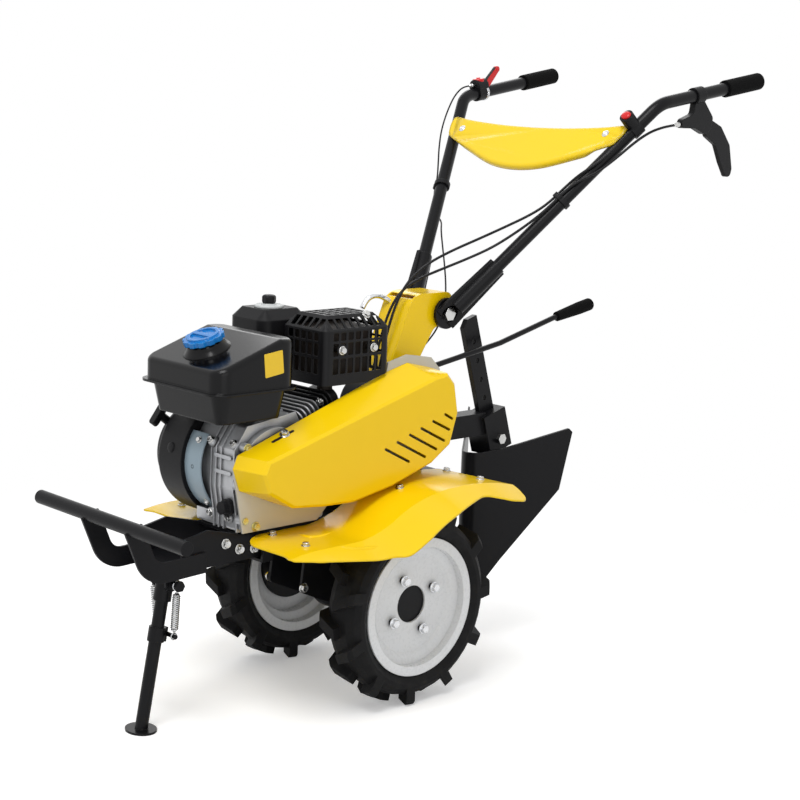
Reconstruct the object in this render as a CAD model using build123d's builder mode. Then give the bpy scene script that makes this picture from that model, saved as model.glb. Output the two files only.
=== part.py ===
from build123d import *
import os
from math import atan2, cos, degrees, hypot, pi, radians, sin, tan

os.makedirs("parts", exist_ok=True)

# The tiller in millimetres. X points to the machine's left, Y to the rear, Z up.
# The origin is on the floor, under the middle of the whole footprint.

# Wheels
axle_y = -140.0
axle_z = 185.0
track_half = 168.0
tyre_radius = 185.0
tyre_half_width = 42.0
lug_height = 16.0
lug_count = 11
lug_width = 21.0
lug_slant = 22.0
rim_radius = 130.0
rim_half_width = 36.0
rim_sheet = 4.0
disc_inset = 7.0
centre_hole_radius = 35.0
wheel_bolt_circle = 112.0
wheel_bolt_count = 4
wheel_bolt_radius = 6.0
hub_flange_radius = 70.0
hub_radius = 27.0
shaft_radius = 13.0
running_gap = 0.3

# Gear case
case_half_width = 42.0
case_boss_radius = 56.0
input_y = axle_y + 62.0
input_z = 522.0
input_boss_radius = 58.0

# Chassis beam and front end
beam_half_width = 62.0
beam_sheet = 5.0
beam_bottom_z = 296.0
beam_top_z = 341.0
beam_front_y = axle_y - 352.0
bar_y = axle_y - 541.0
bar_z = 386.0
bar_radius = 12.5
bar_half_length = 217.0
bar_wall = 2.5
strap_width = 36.0

# Prop stand
stand_pivot_y = axle_y - 427.0
stand_pivot_z = 262.0
stand_lean = 10.4
stand_bolt_radius = 6.0
stand_tube_radius = 11.5
stand_sleeve_radius = 16.0
stand_sleeve_length = 34.0
collar_drop = 93.0
ear_gap = 1.0
ear_sheet = 5.0
spring_radius = 6.5
foot_radius = 31.0
foot_sheet = 4.0

# Engine
engine_base_z = beam_top_z + 4.0
crank_y = axle_y - 245.0
crank_z = engine_base_z + 106.0
crankcase_fan_x = -58.0
crankcase_drive_x = 62.0
cylinder_tilt = 25.0
fan_radius = 108.0
fan_depth = 74.0
tank_sheet = 4.0
tank_flange_z = 599.0
tank_top_z = 688.0
tank_bottom_z = 546.0
tank_front_y = axle_y - 404.0
tank_rear_y = axle_y - 214.0
tank_far_x = -128.0
tank_near_x = 112.0
cap_radius = 37.0
guard_far_x = -30.0
guard_near_x = 90.0
guard_front_y = axle_y - 150.0
guard_rear_y = axle_y + 8.0
guard_bottom_z = 592.0
guard_top_z = 716.0

# Belt drive cover
plate_x = 76.0
plate_sheet = 4.0
cover_depth = 58.0
cover_sheet = 3.0

# Fenders
fender_sheet = 3.0
fender_inner_x = 70.0
fender_crease_x = 214.0
fender_outer_x = 290.0
fender_droop = 32.0

# Handlebar
pivot_y = axle_y + 195.0
pivot_z = 697.0
pivot_radius = 8.0
column_half_width = 37.0
column_sheet = 4.0
fork_gap = 5.5
fork_sheet = 7.0
arm_radius = 12.5
arm_wall = 2.5
bend_x = 264.0
bend_y = axle_y + 537.0
bend_z = 1107.0
grip_end_x = 278.0
grip_end_y = axle_y + 832.0
grip_end_z = 1158.0
grip_radius = 17.0
grip_length = 108.0

column_foot_y = axle_y + 52.0
column_foot_z = 585.0
column_foot_length = 66.0
lever_eye_x = 30.0
lever_eye_y = axle_y + 133.0
lever_eye_z = 548.0

# Ridger and its hitch
ridger_tilt = 17.5
hitch_y = axle_y + 376.0
hitch_z = 442.0
hitch_height = 84.0
shank_width = 40.0
shank_thickness = 12.0
shank_clearance = 0.4
shank_above = 244.0
shank_below = 120.0
pin_radius = 5.0
wing_sheet = 4.0
wing_half_angle = 41.0


def side_plane(x):
    """A plane across the machine: its own X is the machine's Y, its own Y is Z."""
    return Plane.YZ.offset(x)


def bend_radii(points, closed=False, largest=1e6):
    """The fillet radius of each corner of a line, so that it bends as gently as its runs allow."""
    spots = [Vector(*point) for point in points]
    if closed:
        spots = [spots[-1], *spots, spots[0]]
    radii = []
    for before, here, after in zip(spots, spots[1:], spots[2:]):
        turn = radians((here - before).get_angle(after - here))
        shorter = min((here - before).length, (after - here).length)
        radii.append(min(largest, 0.45 * shorter / tan(turn / 2)))
    return radii


# Rims and tyres, the left one and its mirror image
seat_radius = rim_radius - 14.0
well_radius = seat_radius - 15.0
seat_half = rim_half_width - rim_sheet
wheel_axis = Axis((0, axle_y, axle_z), (1, 0, 0))


def rim_profile():
    half = rim_half_width
    inner = well_radius - rim_sheet
    face = disc_inset + rim_sheet
    return [
        (-half, rim_radius), (-seat_half, rim_radius), (-seat_half, seat_radius),
        (-18.0, seat_radius), (-12.0, well_radius), (12.0, well_radius),
        (18.0, seat_radius), (seat_half, seat_radius), (seat_half, rim_radius),
        (half, rim_radius), (half, seat_radius - rim_sheet), (20.0, seat_radius - rim_sheet),
        (15.0, inner), (face, inner - 6.0), (face, centre_hole_radius),
        (disc_inset, centre_hole_radius), (disc_inset, inner), (-13.0, inner),
        (-19.0, seat_radius - rim_sheet), (-half, seat_radius - rim_sheet),
    ]


facet_count = 4 * lug_count
crown = tyre_radius - lug_height
wall_radius = rim_radius + 14.0
lug_root = rim_radius + 16.0
carcass = [(-tyre_half_width, crown - 17.0), (8.0 - tyre_half_width, crown - 6.0),
           (24.0 - tyre_half_width, crown), (tyre_half_width - 24.0, crown),
           (tyre_half_width - 8.0, crown - 6.0), (tyre_half_width, crown - 17.0)]
lug_profile = [(-tyre_half_width, lug_root), (tyre_half_width, lug_root),
               (tyre_half_width, tyre_radius - 8.0),
               (tyre_half_width - 8.0, tyre_radius), (8.0 - tyre_half_width, tyre_radius),
               (-tyre_half_width, tyre_radius - 8.0)]


def wheel_facets(x, radius, major=True):
    """A polygon round the wheels' axis, through its corners or its flats."""
    with BuildSketch(side_plane(x)) as facets:
        with Locations((axle_y, axle_z)):
            RegularPolygon(radius, facet_count, major_radius=major)
    return facets.sketch


for side, hand in (("left", 1), ("right", -1)):
    centre = hand * track_half
    radial = Plane(origin=(centre, axle_y, axle_z), x_dir=(hand, 0, 0), z_dir=(0, -hand, 0))

    with BuildPart() as rim:
        with BuildSketch(radial):
            with BuildLine():
                Polyline(*rim_profile(), close=True)
            make_face()
        revolve(axis=wheel_axis)
        with BuildSketch(side_plane(centre)):
            with Locations((axle_y, axle_z)):
                with PolarLocations(wheel_bolt_circle / 2, wheel_bolt_count, start_angle=27):
                    Circle(wheel_bolt_radius)
        extrude(amount=rim_half_width, both=True, mode=Mode.SUBTRACT)
    rim.part.label = f"rim_{side}"
    export_step(rim.part, f"parts/rim_{side}.step")

    with BuildPart() as lugs:
        for step in range(2 * lug_count):
            turn = step * pi / lug_count
            way = Vector(0, sin(turn), cos(turn))
            end = tyre_half_width * (1 if step % 2 else -1)
            with BuildSketch(Plane(origin=Vector(centre, axle_y, axle_z) + way * lug_root,
                                   x_dir=(1, 0, 0), z_dir=way)):
                Polygon((-0.08 * end, -lug_width / 2), (end, lug_slant - lug_width / 2),
                        (end, lug_slant + lug_width / 2), (-0.08 * end, lug_width / 2), align=None)
            extrude(amount=2 * (tyre_radius - lug_root))
        with BuildSketch(radial):
            with BuildLine():
                Polyline(*lug_profile, close=True)
            make_face()
        revolve(axis=wheel_axis, mode=Mode.INTERSECT)
    with BuildPart() as tyre:
        loft([wheel_facets(centre + x, radius) for x, radius in carcass], ruled=True)
        add(lugs.part)
        for end in (1, -1):
            loft([wheel_facets(centre + end * tyre_half_width, wall_radius),
                  wheel_facets(centre + end * (seat_half - running_gap), rim_radius)], ruled=True,
                  mode=Mode.SUBTRACT)
        extrude(wheel_facets(centre, seat_radius + running_gap, major=False), amount=tyre_half_width,
                both=True,
                mode=Mode.SUBTRACT)
    tyre.part.label = f"tyre_{side}"
    export_step(tyre.part, f"parts/tyre_{side}.step")

# Wheel shaft with a flanged hub on each end, bolted to the rims' discs
disc_inner_x = track_half + disc_inset
with BuildPart() as axle:
    with BuildSketch(side_plane(0)):
        with Locations((axle_y, axle_z)):
            Circle(shaft_radius)
    extrude(amount=disc_inner_x - running_gap, both=True)
    for hand in (1, -1):
        with BuildSketch(side_plane(hand * (disc_inner_x - running_gap))):
            with Locations((axle_y, axle_z)):
                Circle(hub_flange_radius)
        extrude(amount=-hand * 8.0)
        with BuildSketch(side_plane(hand * (disc_inner_x - 8.0))):
            with Locations((axle_y, axle_z)):
                Circle(hub_radius)
        extrude(amount=-hand * 70.0)
        with BuildSketch(side_plane(hand * (disc_inner_x - 4.0))):
            with Locations((axle_y, axle_z)):
                with PolarLocations(wheel_bolt_circle / 2, wheel_bolt_count, start_angle=27):
                    Circle(wheel_bolt_radius - 0.5)
        extrude(amount=hand * 16.0)
axle.part.label = "wheel_axle"
export_step(axle.part, "parts/wheel_axle.step")

# Gear case: a cast housing from the wheel shaft up to the belt drive's input shaft
lug_plate = [(-145, beam_bottom_z - 4.0), (-156, 203), (-62, 161), (-46, 186), (-46, beam_bottom_z - 4.0)]
with BuildPart() as gearcase:
    with BuildSketch(side_plane(-case_half_width)):
        with Locations((axle_y, axle_z)):
            Circle(case_boss_radius)
        with Locations((input_y, input_z)):
            Circle(input_boss_radius)
        with BuildLine():
            Polyline((axle_y - case_boss_radius, axle_z), (axle_y - 62.0, beam_bottom_z - 20.0),
                     (axle_y - 62.0, beam_top_z + 60.0), (input_y - input_boss_radius, input_z),
                     (input_y + input_boss_radius, input_z), (axle_y + 118.0, hitch_z + 42.0),
                     (axle_y + 118.0, hitch_z - 22.0), (axle_y + case_boss_radius, axle_z), close=True)
        make_face()
    extrude(amount=2 * case_half_width)
    for hand in (1, -1):
        with BuildSketch(side_plane(hand * case_half_width)):
            with Locations((axle_y, axle_z)):
                Circle(case_boss_radius - 14.0)
        extrude(amount=hand * 14.0)
    with BuildSketch(side_plane(0)):
        with Locations((axle_y, axle_z)):
            Circle(shaft_radius + 0.5)
    extrude(amount=case_half_width + 20.0, both=True, mode=Mode.SUBTRACT)
    with BuildSketch(side_plane(case_half_width)):
        with Locations((input_y, input_z)):
            Circle(34.0)
    extrude(amount=plate_x - case_half_width - running_gap)
    with BuildSketch(Plane.XY.offset(input_z)):
        with Locations((0, column_foot_y + column_foot_length / 2)):
            Rectangle(2 * column_half_width, column_foot_length)
    extrude(amount=column_foot_z - running_gap - input_z)
    for hand in (1, -1):
        with BuildSketch(side_plane(hand * case_half_width)):
            with BuildLine():
                FilletPolyline(*[(axle_y + y, z) for y, z in lug_plate], radius=8.0, close=True)
            make_face()
        extrude(amount=hand * 6.0)
    with BuildSketch(side_plane(lever_eye_x - running_gap)):
        with Locations((lever_eye_y - 12.0, lever_eye_z)):
            Rectangle(34.0, 20.0)
    extrude(amount=-14.0)
    with BuildSketch(side_plane(lever_eye_x - 4.0)):
        with Locations((lever_eye_y, lever_eye_z)):
            Circle(4.0)
    extrude(amount=20.0)
gearcase.part.label = "gear_case"
export_step(gearcase.part, "parts/gear_case.step")

# Chassis beam: two side plates under a top plate that carries the engine
inner_x = beam_half_width - beam_sheet
case_front_y = axle_y - 62.0
with BuildPart() as chassis:
    for hand in (1, -1):
        with BuildSketch(side_plane(hand * beam_half_width)):
            with BuildLine():
                Polyline((beam_front_y - 90.0, beam_bottom_z - 4.0), (case_front_y, beam_bottom_z),
                         (case_front_y, beam_top_z), (beam_front_y + 40.0, beam_top_z),
                         (beam_front_y - 30.0, beam_top_z + 18.0),
                         (beam_front_y - 80.0, beam_top_z + 8.0),
                         close=True)
            make_face()
        extrude(amount=-hand * beam_sheet)
    with BuildSketch(Plane.XY.offset(beam_top_z - beam_sheet)):
        with Locations((0, (beam_front_y + 40.0 + case_front_y) / 2)):
            Rectangle(2 * inner_x + 2.0, case_front_y - beam_front_y - 40.0)
    extrude(amount=beam_sheet)
    with BuildSketch(Plane.XY.offset(beam_top_z)):
        for pad_y in (crank_y - 52.0, crank_y + 110.0):
            with Locations((0, pad_y)):
                Rectangle(105.0, 22.0)
    extrude(amount=engine_base_z - beam_top_z)
chassis.part.label = "chassis_beam"
export_step(chassis.part, "parts/chassis_beam.step")

# Front bumper: a cross tube on two curved flat straps
with BuildPart() as bumper:
    with BuildSketch(side_plane(-bar_half_length)):
        with Locations((bar_y, bar_z)):
            Circle(bar_radius)
    extrude(amount=2 * bar_half_length)
    for hand in (1, -1):
        with BuildSketch(side_plane(hand * (beam_half_width + running_gap))):
            with BuildLine():
                FilletPolyline((bar_y + 2.0, bar_z), (bar_y + 38.0, beam_bottom_z + 3.0),
                               (axle_y - 388.0, beam_bottom_z + 8.0), radius=44.0)
            trace(line_width=strap_width)
        extrude(amount=hand * beam_sheet)
bumper.part.label = "front_bumper"
export_step(bumper.part, "parts/front_bumper.step")

# Bracket with two ears and a cross bolt for the prop stand
ear_x = stand_sleeve_radius + ear_gap
bolt_end_x = 46.0
web_z = beam_bottom_z + 4.0
with BuildPart() as bracket:
    with BuildSketch(Plane.XY.offset(web_z)):
        with Locations((0, stand_pivot_y)):
            Rectangle(2 * (inner_x - running_gap), 66.0)
    extrude(amount=beam_sheet)
    for hand in (1, -1):
        with BuildSketch(side_plane(hand * ear_x)):
            with Locations((stand_pivot_y, stand_pivot_z)):
                Circle(14.0)
            with Locations((stand_pivot_y, (stand_pivot_z + web_z + 1.0) / 2)):
                Rectangle(28.0, web_z + 1.0 - stand_pivot_z)
        extrude(amount=hand * ear_sheet)
    with BuildSketch(side_plane(-bolt_end_x)):
        with Locations((stand_pivot_y, stand_pivot_z)):
            Circle(stand_bolt_radius)
    extrude(amount=2 * bolt_end_x)
    for hand in (1, -1):
        with BuildSketch(side_plane(hand * bolt_end_x)):
            with Locations((stand_pivot_y, stand_pivot_z)):
                RegularPolygon(10.0, 6)
        extrude(amount=-hand * 6.0)
bracket.part.label = "stand_bracket"
export_step(bracket.part, "parts/stand_bracket.step")

# Prop stand: sleeve, tube, collar with a cross pin, and the round foot
lean = radians(stand_lean)
leg_length = stand_pivot_z / cos(lean)


def leg_plane(distance, rear=0.0):
    """A plane square to the stand's leg, this far below its pivot."""
    y = stand_pivot_y - distance * sin(lean) + rear * cos(lean)
    z = stand_pivot_z - distance * cos(lean) - rear * sin(lean)
    return Plane(origin=(0, y, z), x_dir=(1, 0, 0), z_dir=(0, -sin(lean), -cos(lean)))


pin_half_length = 30.0
pin_rear = 20.0
foot_y = stand_pivot_y - stand_pivot_z * tan(lean)
with BuildPart() as leg:
    with BuildSketch(leg_plane(-14.0)):
        Circle(stand_sleeve_radius)
    extrude(amount=14.0 + stand_sleeve_length)
    with BuildSketch(leg_plane(stand_sleeve_length - 2.0)):
        Circle(stand_tube_radius)
    extrude(amount=leg_length - stand_sleeve_length)
    with BuildSketch(leg_plane(collar_drop - 12.0)):
        Circle(stand_tube_radius + 3.5)
        with Locations((0, -pin_rear / 2)):
            Rectangle(10.0, pin_rear)
    extrude(amount=26.0)
    with BuildSketch(side_plane(-pin_half_length)):
        with Locations((leg_plane(collar_drop, pin_rear).origin.Y,
                        leg_plane(collar_drop, pin_rear).origin.Z)):
            Circle(4.0)
    extrude(amount=2 * pin_half_length)
    split(bisect_by=Plane.XY.offset(foot_sheet / 2), keep=Keep.TOP)
    with BuildSketch(Plane.XY):
        with Locations((0, foot_y)):
            Ellipse(foot_radius, foot_radius * 0.85)
    extrude(amount=foot_sheet)
    with BuildSketch(side_plane(0)):
        with Locations((stand_pivot_y, stand_pivot_z)):
            Circle(stand_bolt_radius + 0.4)
    extrude(amount=40.0, both=True, mode=Mode.SUBTRACT)
leg.part.label = "stand_leg"
export_step(leg.part, "parts/stand_leg.step")

# Return springs from the stand's cross bolt to the collar's pin
with BuildPart() as springs:
    for hand in (1, -1):
        top = Vector(hand * 36.0, stand_pivot_y, stand_pivot_z)
        foot = leg_plane(collar_drop, pin_rear).origin + Vector(hand * 24.0, 0, 0)
        way = (foot - top).normalized()
        with BuildSketch(Plane(origin=top + way * 14.0, z_dir=way)):
            Circle(spring_radius)
        extrude(amount=(foot - top).length - 24.0)
        for end, hole in ((top, stand_bolt_radius), (foot, 4.0)):
            with BuildSketch(side_plane(end.X - 1.5)):
                with Locations((end.Y, end.Z)):
                    Circle(hole + running_gap + 3.0)
                    Circle(hole + running_gap, mode=Mode.SUBTRACT)
            extrude(amount=3.0)
        with BuildSketch(Plane(origin=top + way * (stand_bolt_radius + 2.0), z_dir=way)):
            Circle(1.6)
        extrude(amount=10.0)
        with BuildSketch(Plane(origin=foot - way * 6.0, z_dir=-way)):
            Circle(1.6)
        extrude(amount=8.0)
springs.part.label = "stand_springs"
export_step(springs.part, "parts/stand_springs.step")

# Engine: crankcase with its foot, and the finned cylinder on its rear, leaning back
tilt = radians(cylinder_tilt)


def cylinder_plane(distance):
    """A plane square to the cylinder's axis, this far from the crankshaft."""
    y = crank_y + distance * cos(tilt)
    z = crank_z + distance * sin(tilt)
    return Plane(origin=(0, y, z), x_dir=(1, 0, 0), z_dir=(0, cos(tilt), sin(tilt)))


shield_radius = 100.0
shield_width = 46.0
shield_sheet = 3.0
barrel_start = 70.0
barrel_end = 150.0
fin_count = 8
fin_pitch = 10.0
fin_sheet = 3.0
fin_size = 104.0
crankcase_ribs = [(-6.0, 3.0, 3.5), (8.0, 3.0, 3.5), (22.0, 3.0, 3.5), (59.0, 3.0, 4.0)]
with BuildSketch() as crankcase_outline:
    with BuildLine():
        Polyline((crank_y - 71.0, engine_base_z), (crank_y - 71.0, engine_base_z + 24.0),
                 (crank_y - 80.0, crank_z - 30.0), (crank_y - 78.0, crank_z + 40.0),
                 (crank_y - 52.0, crank_z + 78.0), (crank_y + 52.0, crank_z + 92.0),
                 (crank_y + 96.0, crank_z + 8.0), (crank_y + 84.0, crank_z - 60.0),
                 (crank_y + 100.0, engine_base_z + 24.0), (crank_y + 124.0, engine_base_z + 24.0),
                 (crank_y + 124.0, engine_base_z), close=True)
    make_face()
with BuildPart() as crankcase:
    with BuildSketch(side_plane(crankcase_fan_x)):
        add(crankcase_outline.sketch)
    extrude(amount=crankcase_drive_x - crankcase_fan_x)
    fillet(crankcase.edges().filter_by(Axis.X), radius=6.0)
    for x, thick, proud in crankcase_ribs:
        with BuildSketch(side_plane(x)):
            add(crankcase_outline.sketch)
            offset(amount=proud, kind=Kind.INTERSECTION)
            with Locations((crank_y, engine_base_z - 20.0)):
                Rectangle(400.0, 40.0, mode=Mode.SUBTRACT)
            with Locations((crank_y + 140.0, crank_z)):
                Rectangle(100.0, 300.0, mode=Mode.SUBTRACT)
        extrude(amount=thick)
    with BuildSketch(Plane(origin=(crankcase_ribs[-1][0], crank_y - 74.0, crank_z + 2.0),
                           x_dir=(1, 0, 0), z_dir=(0, -1, 0))):
        with Locations((-30.0, 24.0), (-30.0, -4.0)):
            SlotOverall(48.0, 7.0)
    extrude(amount=9.0)
    with BuildSketch(cylinder_plane(barrel_start - 10.0)):
        RectangleRounded(88.0, 88.0, 16.0)
    extrude(amount=barrel_end - barrel_start + 10.0)
    for fin in range(fin_count):
        with BuildSketch(cylinder_plane(barrel_start + 4.0 + fin * fin_pitch)):
            RectangleRounded(fin_size, fin_size, 14.0)
        extrude(amount=fin_sheet)
    with BuildSketch(side_plane(crankcase_fan_x)):
        with Locations((crank_y - 90.0, crank_z)):
            Rectangle(100.0, 162.0)
        with Locations((crank_y, crank_z)):
            Circle(shield_radius - shield_sheet - 1.0, mode=Mode.SUBTRACT)
    extrude(amount=shield_width + 1.0, mode=Mode.SUBTRACT)
crankcase.part.label = "crankcase"
export_step(crankcase.part, "parts/crankcase.step")

# Cylinder head with wide fins and the pressed valve cover
head_length = 32.0
with BuildPart() as head:
    with BuildSketch(cylinder_plane(barrel_end + running_gap)):
        RectangleRounded(94.0, 94.0, 14.0)
    extrude(amount=head_length)
    for fin in range(3):
        with BuildSketch(cylinder_plane(barrel_end + running_gap + 2.0 + fin * fin_pitch)):
            RectangleRounded(118.0, 110.0, 12.0)
        extrude(amount=fin_sheet)
    with BuildSketch(cylinder_plane(barrel_end + head_length)):
        RectangleRounded(74.0, 84.0, 18.0)
    extrude(amount=24.0, taper=4.0)
head.part.label = "cylinder_head"
export_step(head.part, "parts/cylinder_head.step")

# Crankcase cover on the drive side, round the crankshaft's end
cover_bosses = [(-70, -82), (-78, -20), (-64, 46), (66, -84)]
with BuildPart() as drive_cover:
    with BuildSketch(side_plane(crankcase_drive_x + running_gap)):
        with Locations((crank_y, crank_z)):
            Circle(76.0)
        with BuildLine():
            Polyline((crank_y - 71.0, engine_base_z + 6.0), (crank_y + 78.0, engine_base_z + 6.0),
                     (crank_y + 76.0, crank_z), (crank_y - 76.0, crank_z), close=True)
        make_face()
    extrude(amount=plate_x - crankcase_drive_x - 2 * running_gap)
    with BuildSketch(side_plane(crankcase_drive_x + running_gap)):
        with Locations(*[(crank_y + y, crank_z + z) for y, z in cover_bosses]):
            Circle(9.0)
    extrude(amount=plate_x - crankcase_drive_x - 2 * running_gap)
drive_cover.part.label = "crankcase_cover"
export_step(drive_cover.part, "parts/crankcase_cover.step")

# Oil filler cap, low on the crankcase's front
filler_y = crank_y - 77.0
filler_z = engine_base_z + 44.0
with BuildPart() as filler:
    with BuildSketch(Plane(origin=(44.0, filler_y - running_gap, filler_z), z_dir=(0, -1, 0))):
        Circle(15.0)
    extrude(amount=9.0)
    with BuildSketch(Plane(origin=(44.0, filler_y - 9.0, filler_z), z_dir=(0, -1, 0))):
        RegularPolygon(12.0, 8)
    extrude(amount=11.0)
filler.part.label = "oil_filler"
export_step(filler.part, "parts/oil_filler.step")

# Fan shroud on the far side, and the recoil starter on it
shroud_x = crankcase_fan_x - running_gap
shroud_end_x = shroud_x - fan_depth
with BuildPart() as shroud:
    with BuildSketch(side_plane(shroud_x)):
        with Locations((crank_y, crank_z)):
            Circle(fan_radius)
        with BuildLine():
            Polyline((crank_y - 20.0, crank_z + fan_radius - 16.0),
                     (crank_y + 60.0, crank_z + fan_radius - 24.0),
                     (crank_y + 124.0, crank_z + 66.0), (crank_y + 134.0, crank_z + 12.0),
                     (crank_y + 96.0, crank_z - 44.0), (crank_y, crank_z), close=True)
        make_face()
    extrude(amount=-fan_depth)
    fillet(shroud.faces().sort_by(Axis.X)[0].edges(), radius=10.0)
    with BuildSketch(Plane.XY.offset(tank_bottom_z - running_gap)):
        with Locations((shroud_x - fan_depth / 2, crank_y)):
            Rectangle(2 * fan_depth, 3 * fan_radius)
    extrude(amount=40.0, mode=Mode.SUBTRACT)
shroud.part.label = "fan_shroud"
export_step(shroud.part, "parts/fan_shroud.step")

recoil_radius = 92.0
recoil_depth = 30.0
with BuildPart() as recoil:
    with BuildSketch(side_plane(shroud_end_x - running_gap)):
        with Locations((crank_y, crank_z)):
            Circle(recoil_radius)
    extrude(amount=-recoil_depth, taper=14.0)
    with BuildSketch(side_plane(shroud_end_x - recoil_depth - 6.0)):
        with Locations((crank_y, crank_z)):
            with PolarLocations(56.0, 12):
                SlotOverall(34.0, 9.0)
    extrude(amount=18.0, mode=Mode.SUBTRACT)
    with BuildSketch(Plane(origin=(shroud_end_x - 16.0, crank_y - 60.0, crank_z + 50.0),
                           z_dir=(0, -0.8, 0.6))):
        Circle(8.0)
    extrude(amount=34.0)
    with BuildSketch(Plane(origin=(shroud_end_x - 16.0, crank_y - 60.0 - 27.0, crank_z + 50.0 + 20.0),
                           x_dir=(0, 0.6, 0.8),
                           z_dir=(0, -0.8, 0.6))):
        SlotOverall(46.0, 15.0)
    extrude(amount=12.0)
recoil.part.label = "recoil_starter"
export_step(recoil.part, "parts/recoil_starter.step")

# Curved shield in front of the crankcase, beside the fan shroud
with BuildPart() as shield:
    with BuildSketch(side_plane(crankcase_fan_x)):
        with BuildLine():
            Polyline((crank_y, crank_z), (crank_y - 116.0, crank_z - 160.0),
                     (crank_y - 180.0, crank_z - 20.0),
                     (crank_y - 180.0, crank_z + 132.0), close=True)
        make_face()
        with Locations((crank_y, crank_z)):
            Circle(shield_radius, mode=Mode.INTERSECT)
            Circle(shield_radius - shield_sheet, mode=Mode.SUBTRACT)
    extrude(amount=shield_width)
shield.part.label = "side_shield"
export_step(shield.part, "parts/side_shield.step")

# Fuel tank: a pressed lower half, a seam flange, and an upper half with a sloping front
tank_x = (tank_far_x + tank_near_x) / 2
tank_y = (tank_front_y + tank_rear_y) / 2
tank_wide = tank_near_x - tank_far_x
tank_long = tank_rear_y - tank_front_y
seam_width = 8.0
shoulder_z = 640.0
slope = 19.0
tank_round = 11.0
cap_y = axle_y - 335.0
cap_z = shoulder_z + (cap_y - tank_front_y - seam_width) * tan(radians(slope))
cap_way = (0, -sin(radians(slope)), cos(radians(slope)))
cap_plane = Plane(origin=(-10.0, cap_y, cap_z), x_dir=(1, 0, 0), z_dir=cap_way)
neck_height = 18.0
with BuildPart() as tank:
    with BuildSketch(Plane.XY.offset(tank_flange_z)):
        with Locations((tank_x, tank_y)):
            RectangleRounded(tank_wide - 2 * seam_width, tank_long - 2 * seam_width, 28.0)
    extrude(amount=tank_top_z - tank_flange_z)
    with BuildSketch(side_plane(tank_far_x)):
        with BuildLine():
            Polyline((tank_front_y, shoulder_z - seam_width * tan(radians(slope))),
                     (tank_front_y + (tank_top_z - shoulder_z) / tan(radians(slope)) + seam_width,
                      tank_top_z),
                     (tank_front_y + 200.0, tank_top_z + 40.0), (tank_front_y, tank_top_z + 40.0),
                     close=True)
        make_face()
    extrude(amount=tank_wide, mode=Mode.SUBTRACT)
    top_faces = tank.faces().filter_by(lambda f: f.normal_at().Z > 0.9)
    fillet(top_faces.edges(), radius=tank_round)
    with BuildSketch(Plane.XY.offset(tank_flange_z)):
        with Locations((tank_x, tank_y)):
            RectangleRounded(tank_wide - 4 * seam_width, tank_long - 4 * seam_width, 26.0)
    extrude(amount=tank_bottom_z - tank_flange_z, taper=12.0)
    with BuildSketch(Plane.XY.offset(tank_flange_z)):
        with Locations((tank_x, tank_y)):
            RectangleRounded(tank_wide, tank_long, 34.0)
    extrude(amount=tank_sheet)
    with BuildSketch(cap_plane.offset(-4.0)):
        Circle(cap_radius - 7.0)
    extrude(amount=4.0 + neck_height)
tank.part.label = "fuel_tank"
export_step(tank.part, "parts/fuel_tank.step")

# Fuel cap on the tank's neck, its rim scalloped for the hand
with BuildPart() as cap:
    with BuildSketch(cap_plane.offset(neck_height + running_gap)):
        Circle(cap_radius)
        with PolarLocations(cap_radius + 2.5, 12):
            Circle(5.5, mode=Mode.SUBTRACT)
    extrude(amount=9.0)
    with BuildSketch(cap_plane.offset(neck_height + 9.0)):
        Circle(cap_radius - 8.0)
        Circle(cap_radius - 14.0, mode=Mode.SUBTRACT)
    extrude(amount=3.5)
    with BuildSketch(cap_plane.offset(neck_height + 9.0)):
        Rectangle(2 * cap_radius - 24.0, 9.0)
    extrude(amount=3.5)
cap.part.label = "fuel_cap"
export_step(cap.part, "parts/fuel_cap.step")

# Air cleaner with its washer and knob
cleaner_far_x = -148.0
cleaner_near_x = -42.0
cleaner_front_y = axle_y - 184.0
cleaner_rear_y = axle_y - 70.0
cleaner_bottom_z = 612.0
cleaner_top_z = 714.0
cleaner_x = (cleaner_far_x + cleaner_near_x) / 2
cleaner_y = (cleaner_front_y + cleaner_rear_y) / 2
with BuildPart() as cleaner:
    with BuildSketch(Plane.XY.offset(cleaner_bottom_z)):
        with Locations((cleaner_x, cleaner_y)):
            RectangleRounded(cleaner_near_x - cleaner_far_x, cleaner_rear_y - cleaner_front_y, 22.0)
    extrude(amount=cleaner_top_z - cleaner_bottom_z)
    chamfer(cleaner.faces().sort_by(Axis.Z)[-1].edges(), length=18.0)
cleaner.part.label = "air_cleaner"
export_step(cleaner.part, "parts/air_cleaner.step")

knob_y = axle_y - 133.0
with BuildPart() as knob:
    with BuildSketch(Plane.XY.offset(cleaner_top_z + running_gap)):
        with Locations((-90.0, knob_y)):
            Circle(27.0)
    extrude(amount=7.0)
    with BuildSketch(Plane.XY.offset(cleaner_top_z + 6.0)):
        with Locations((-90.0, knob_y)):
            Circle(13.0)
    extrude(amount=20.0)
knob.part.label = "air_cleaner_knob"
export_step(knob.part, "parts/air_cleaner_knob.step")

# Carburettor between the cylinder head and the air cleaner
carb_y = axle_y - 128.0
with BuildPart() as carb:
    with BuildSketch(Plane.XY.offset(548.0)):
        with Locations((-82.0, carb_y)):
            RectangleRounded(34.0, 36.0, 5.0)
    extrude(amount=cleaner_bottom_z - running_gap - 548.0)
    with BuildSketch(side_plane(-70.0)):
        with Locations((carb_y, 560.0)):
            Circle(11.0)
    extrude(amount=10.4)
carb.part.label = "carburettor"
export_step(carb.part, "parts/carburettor.step")

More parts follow.
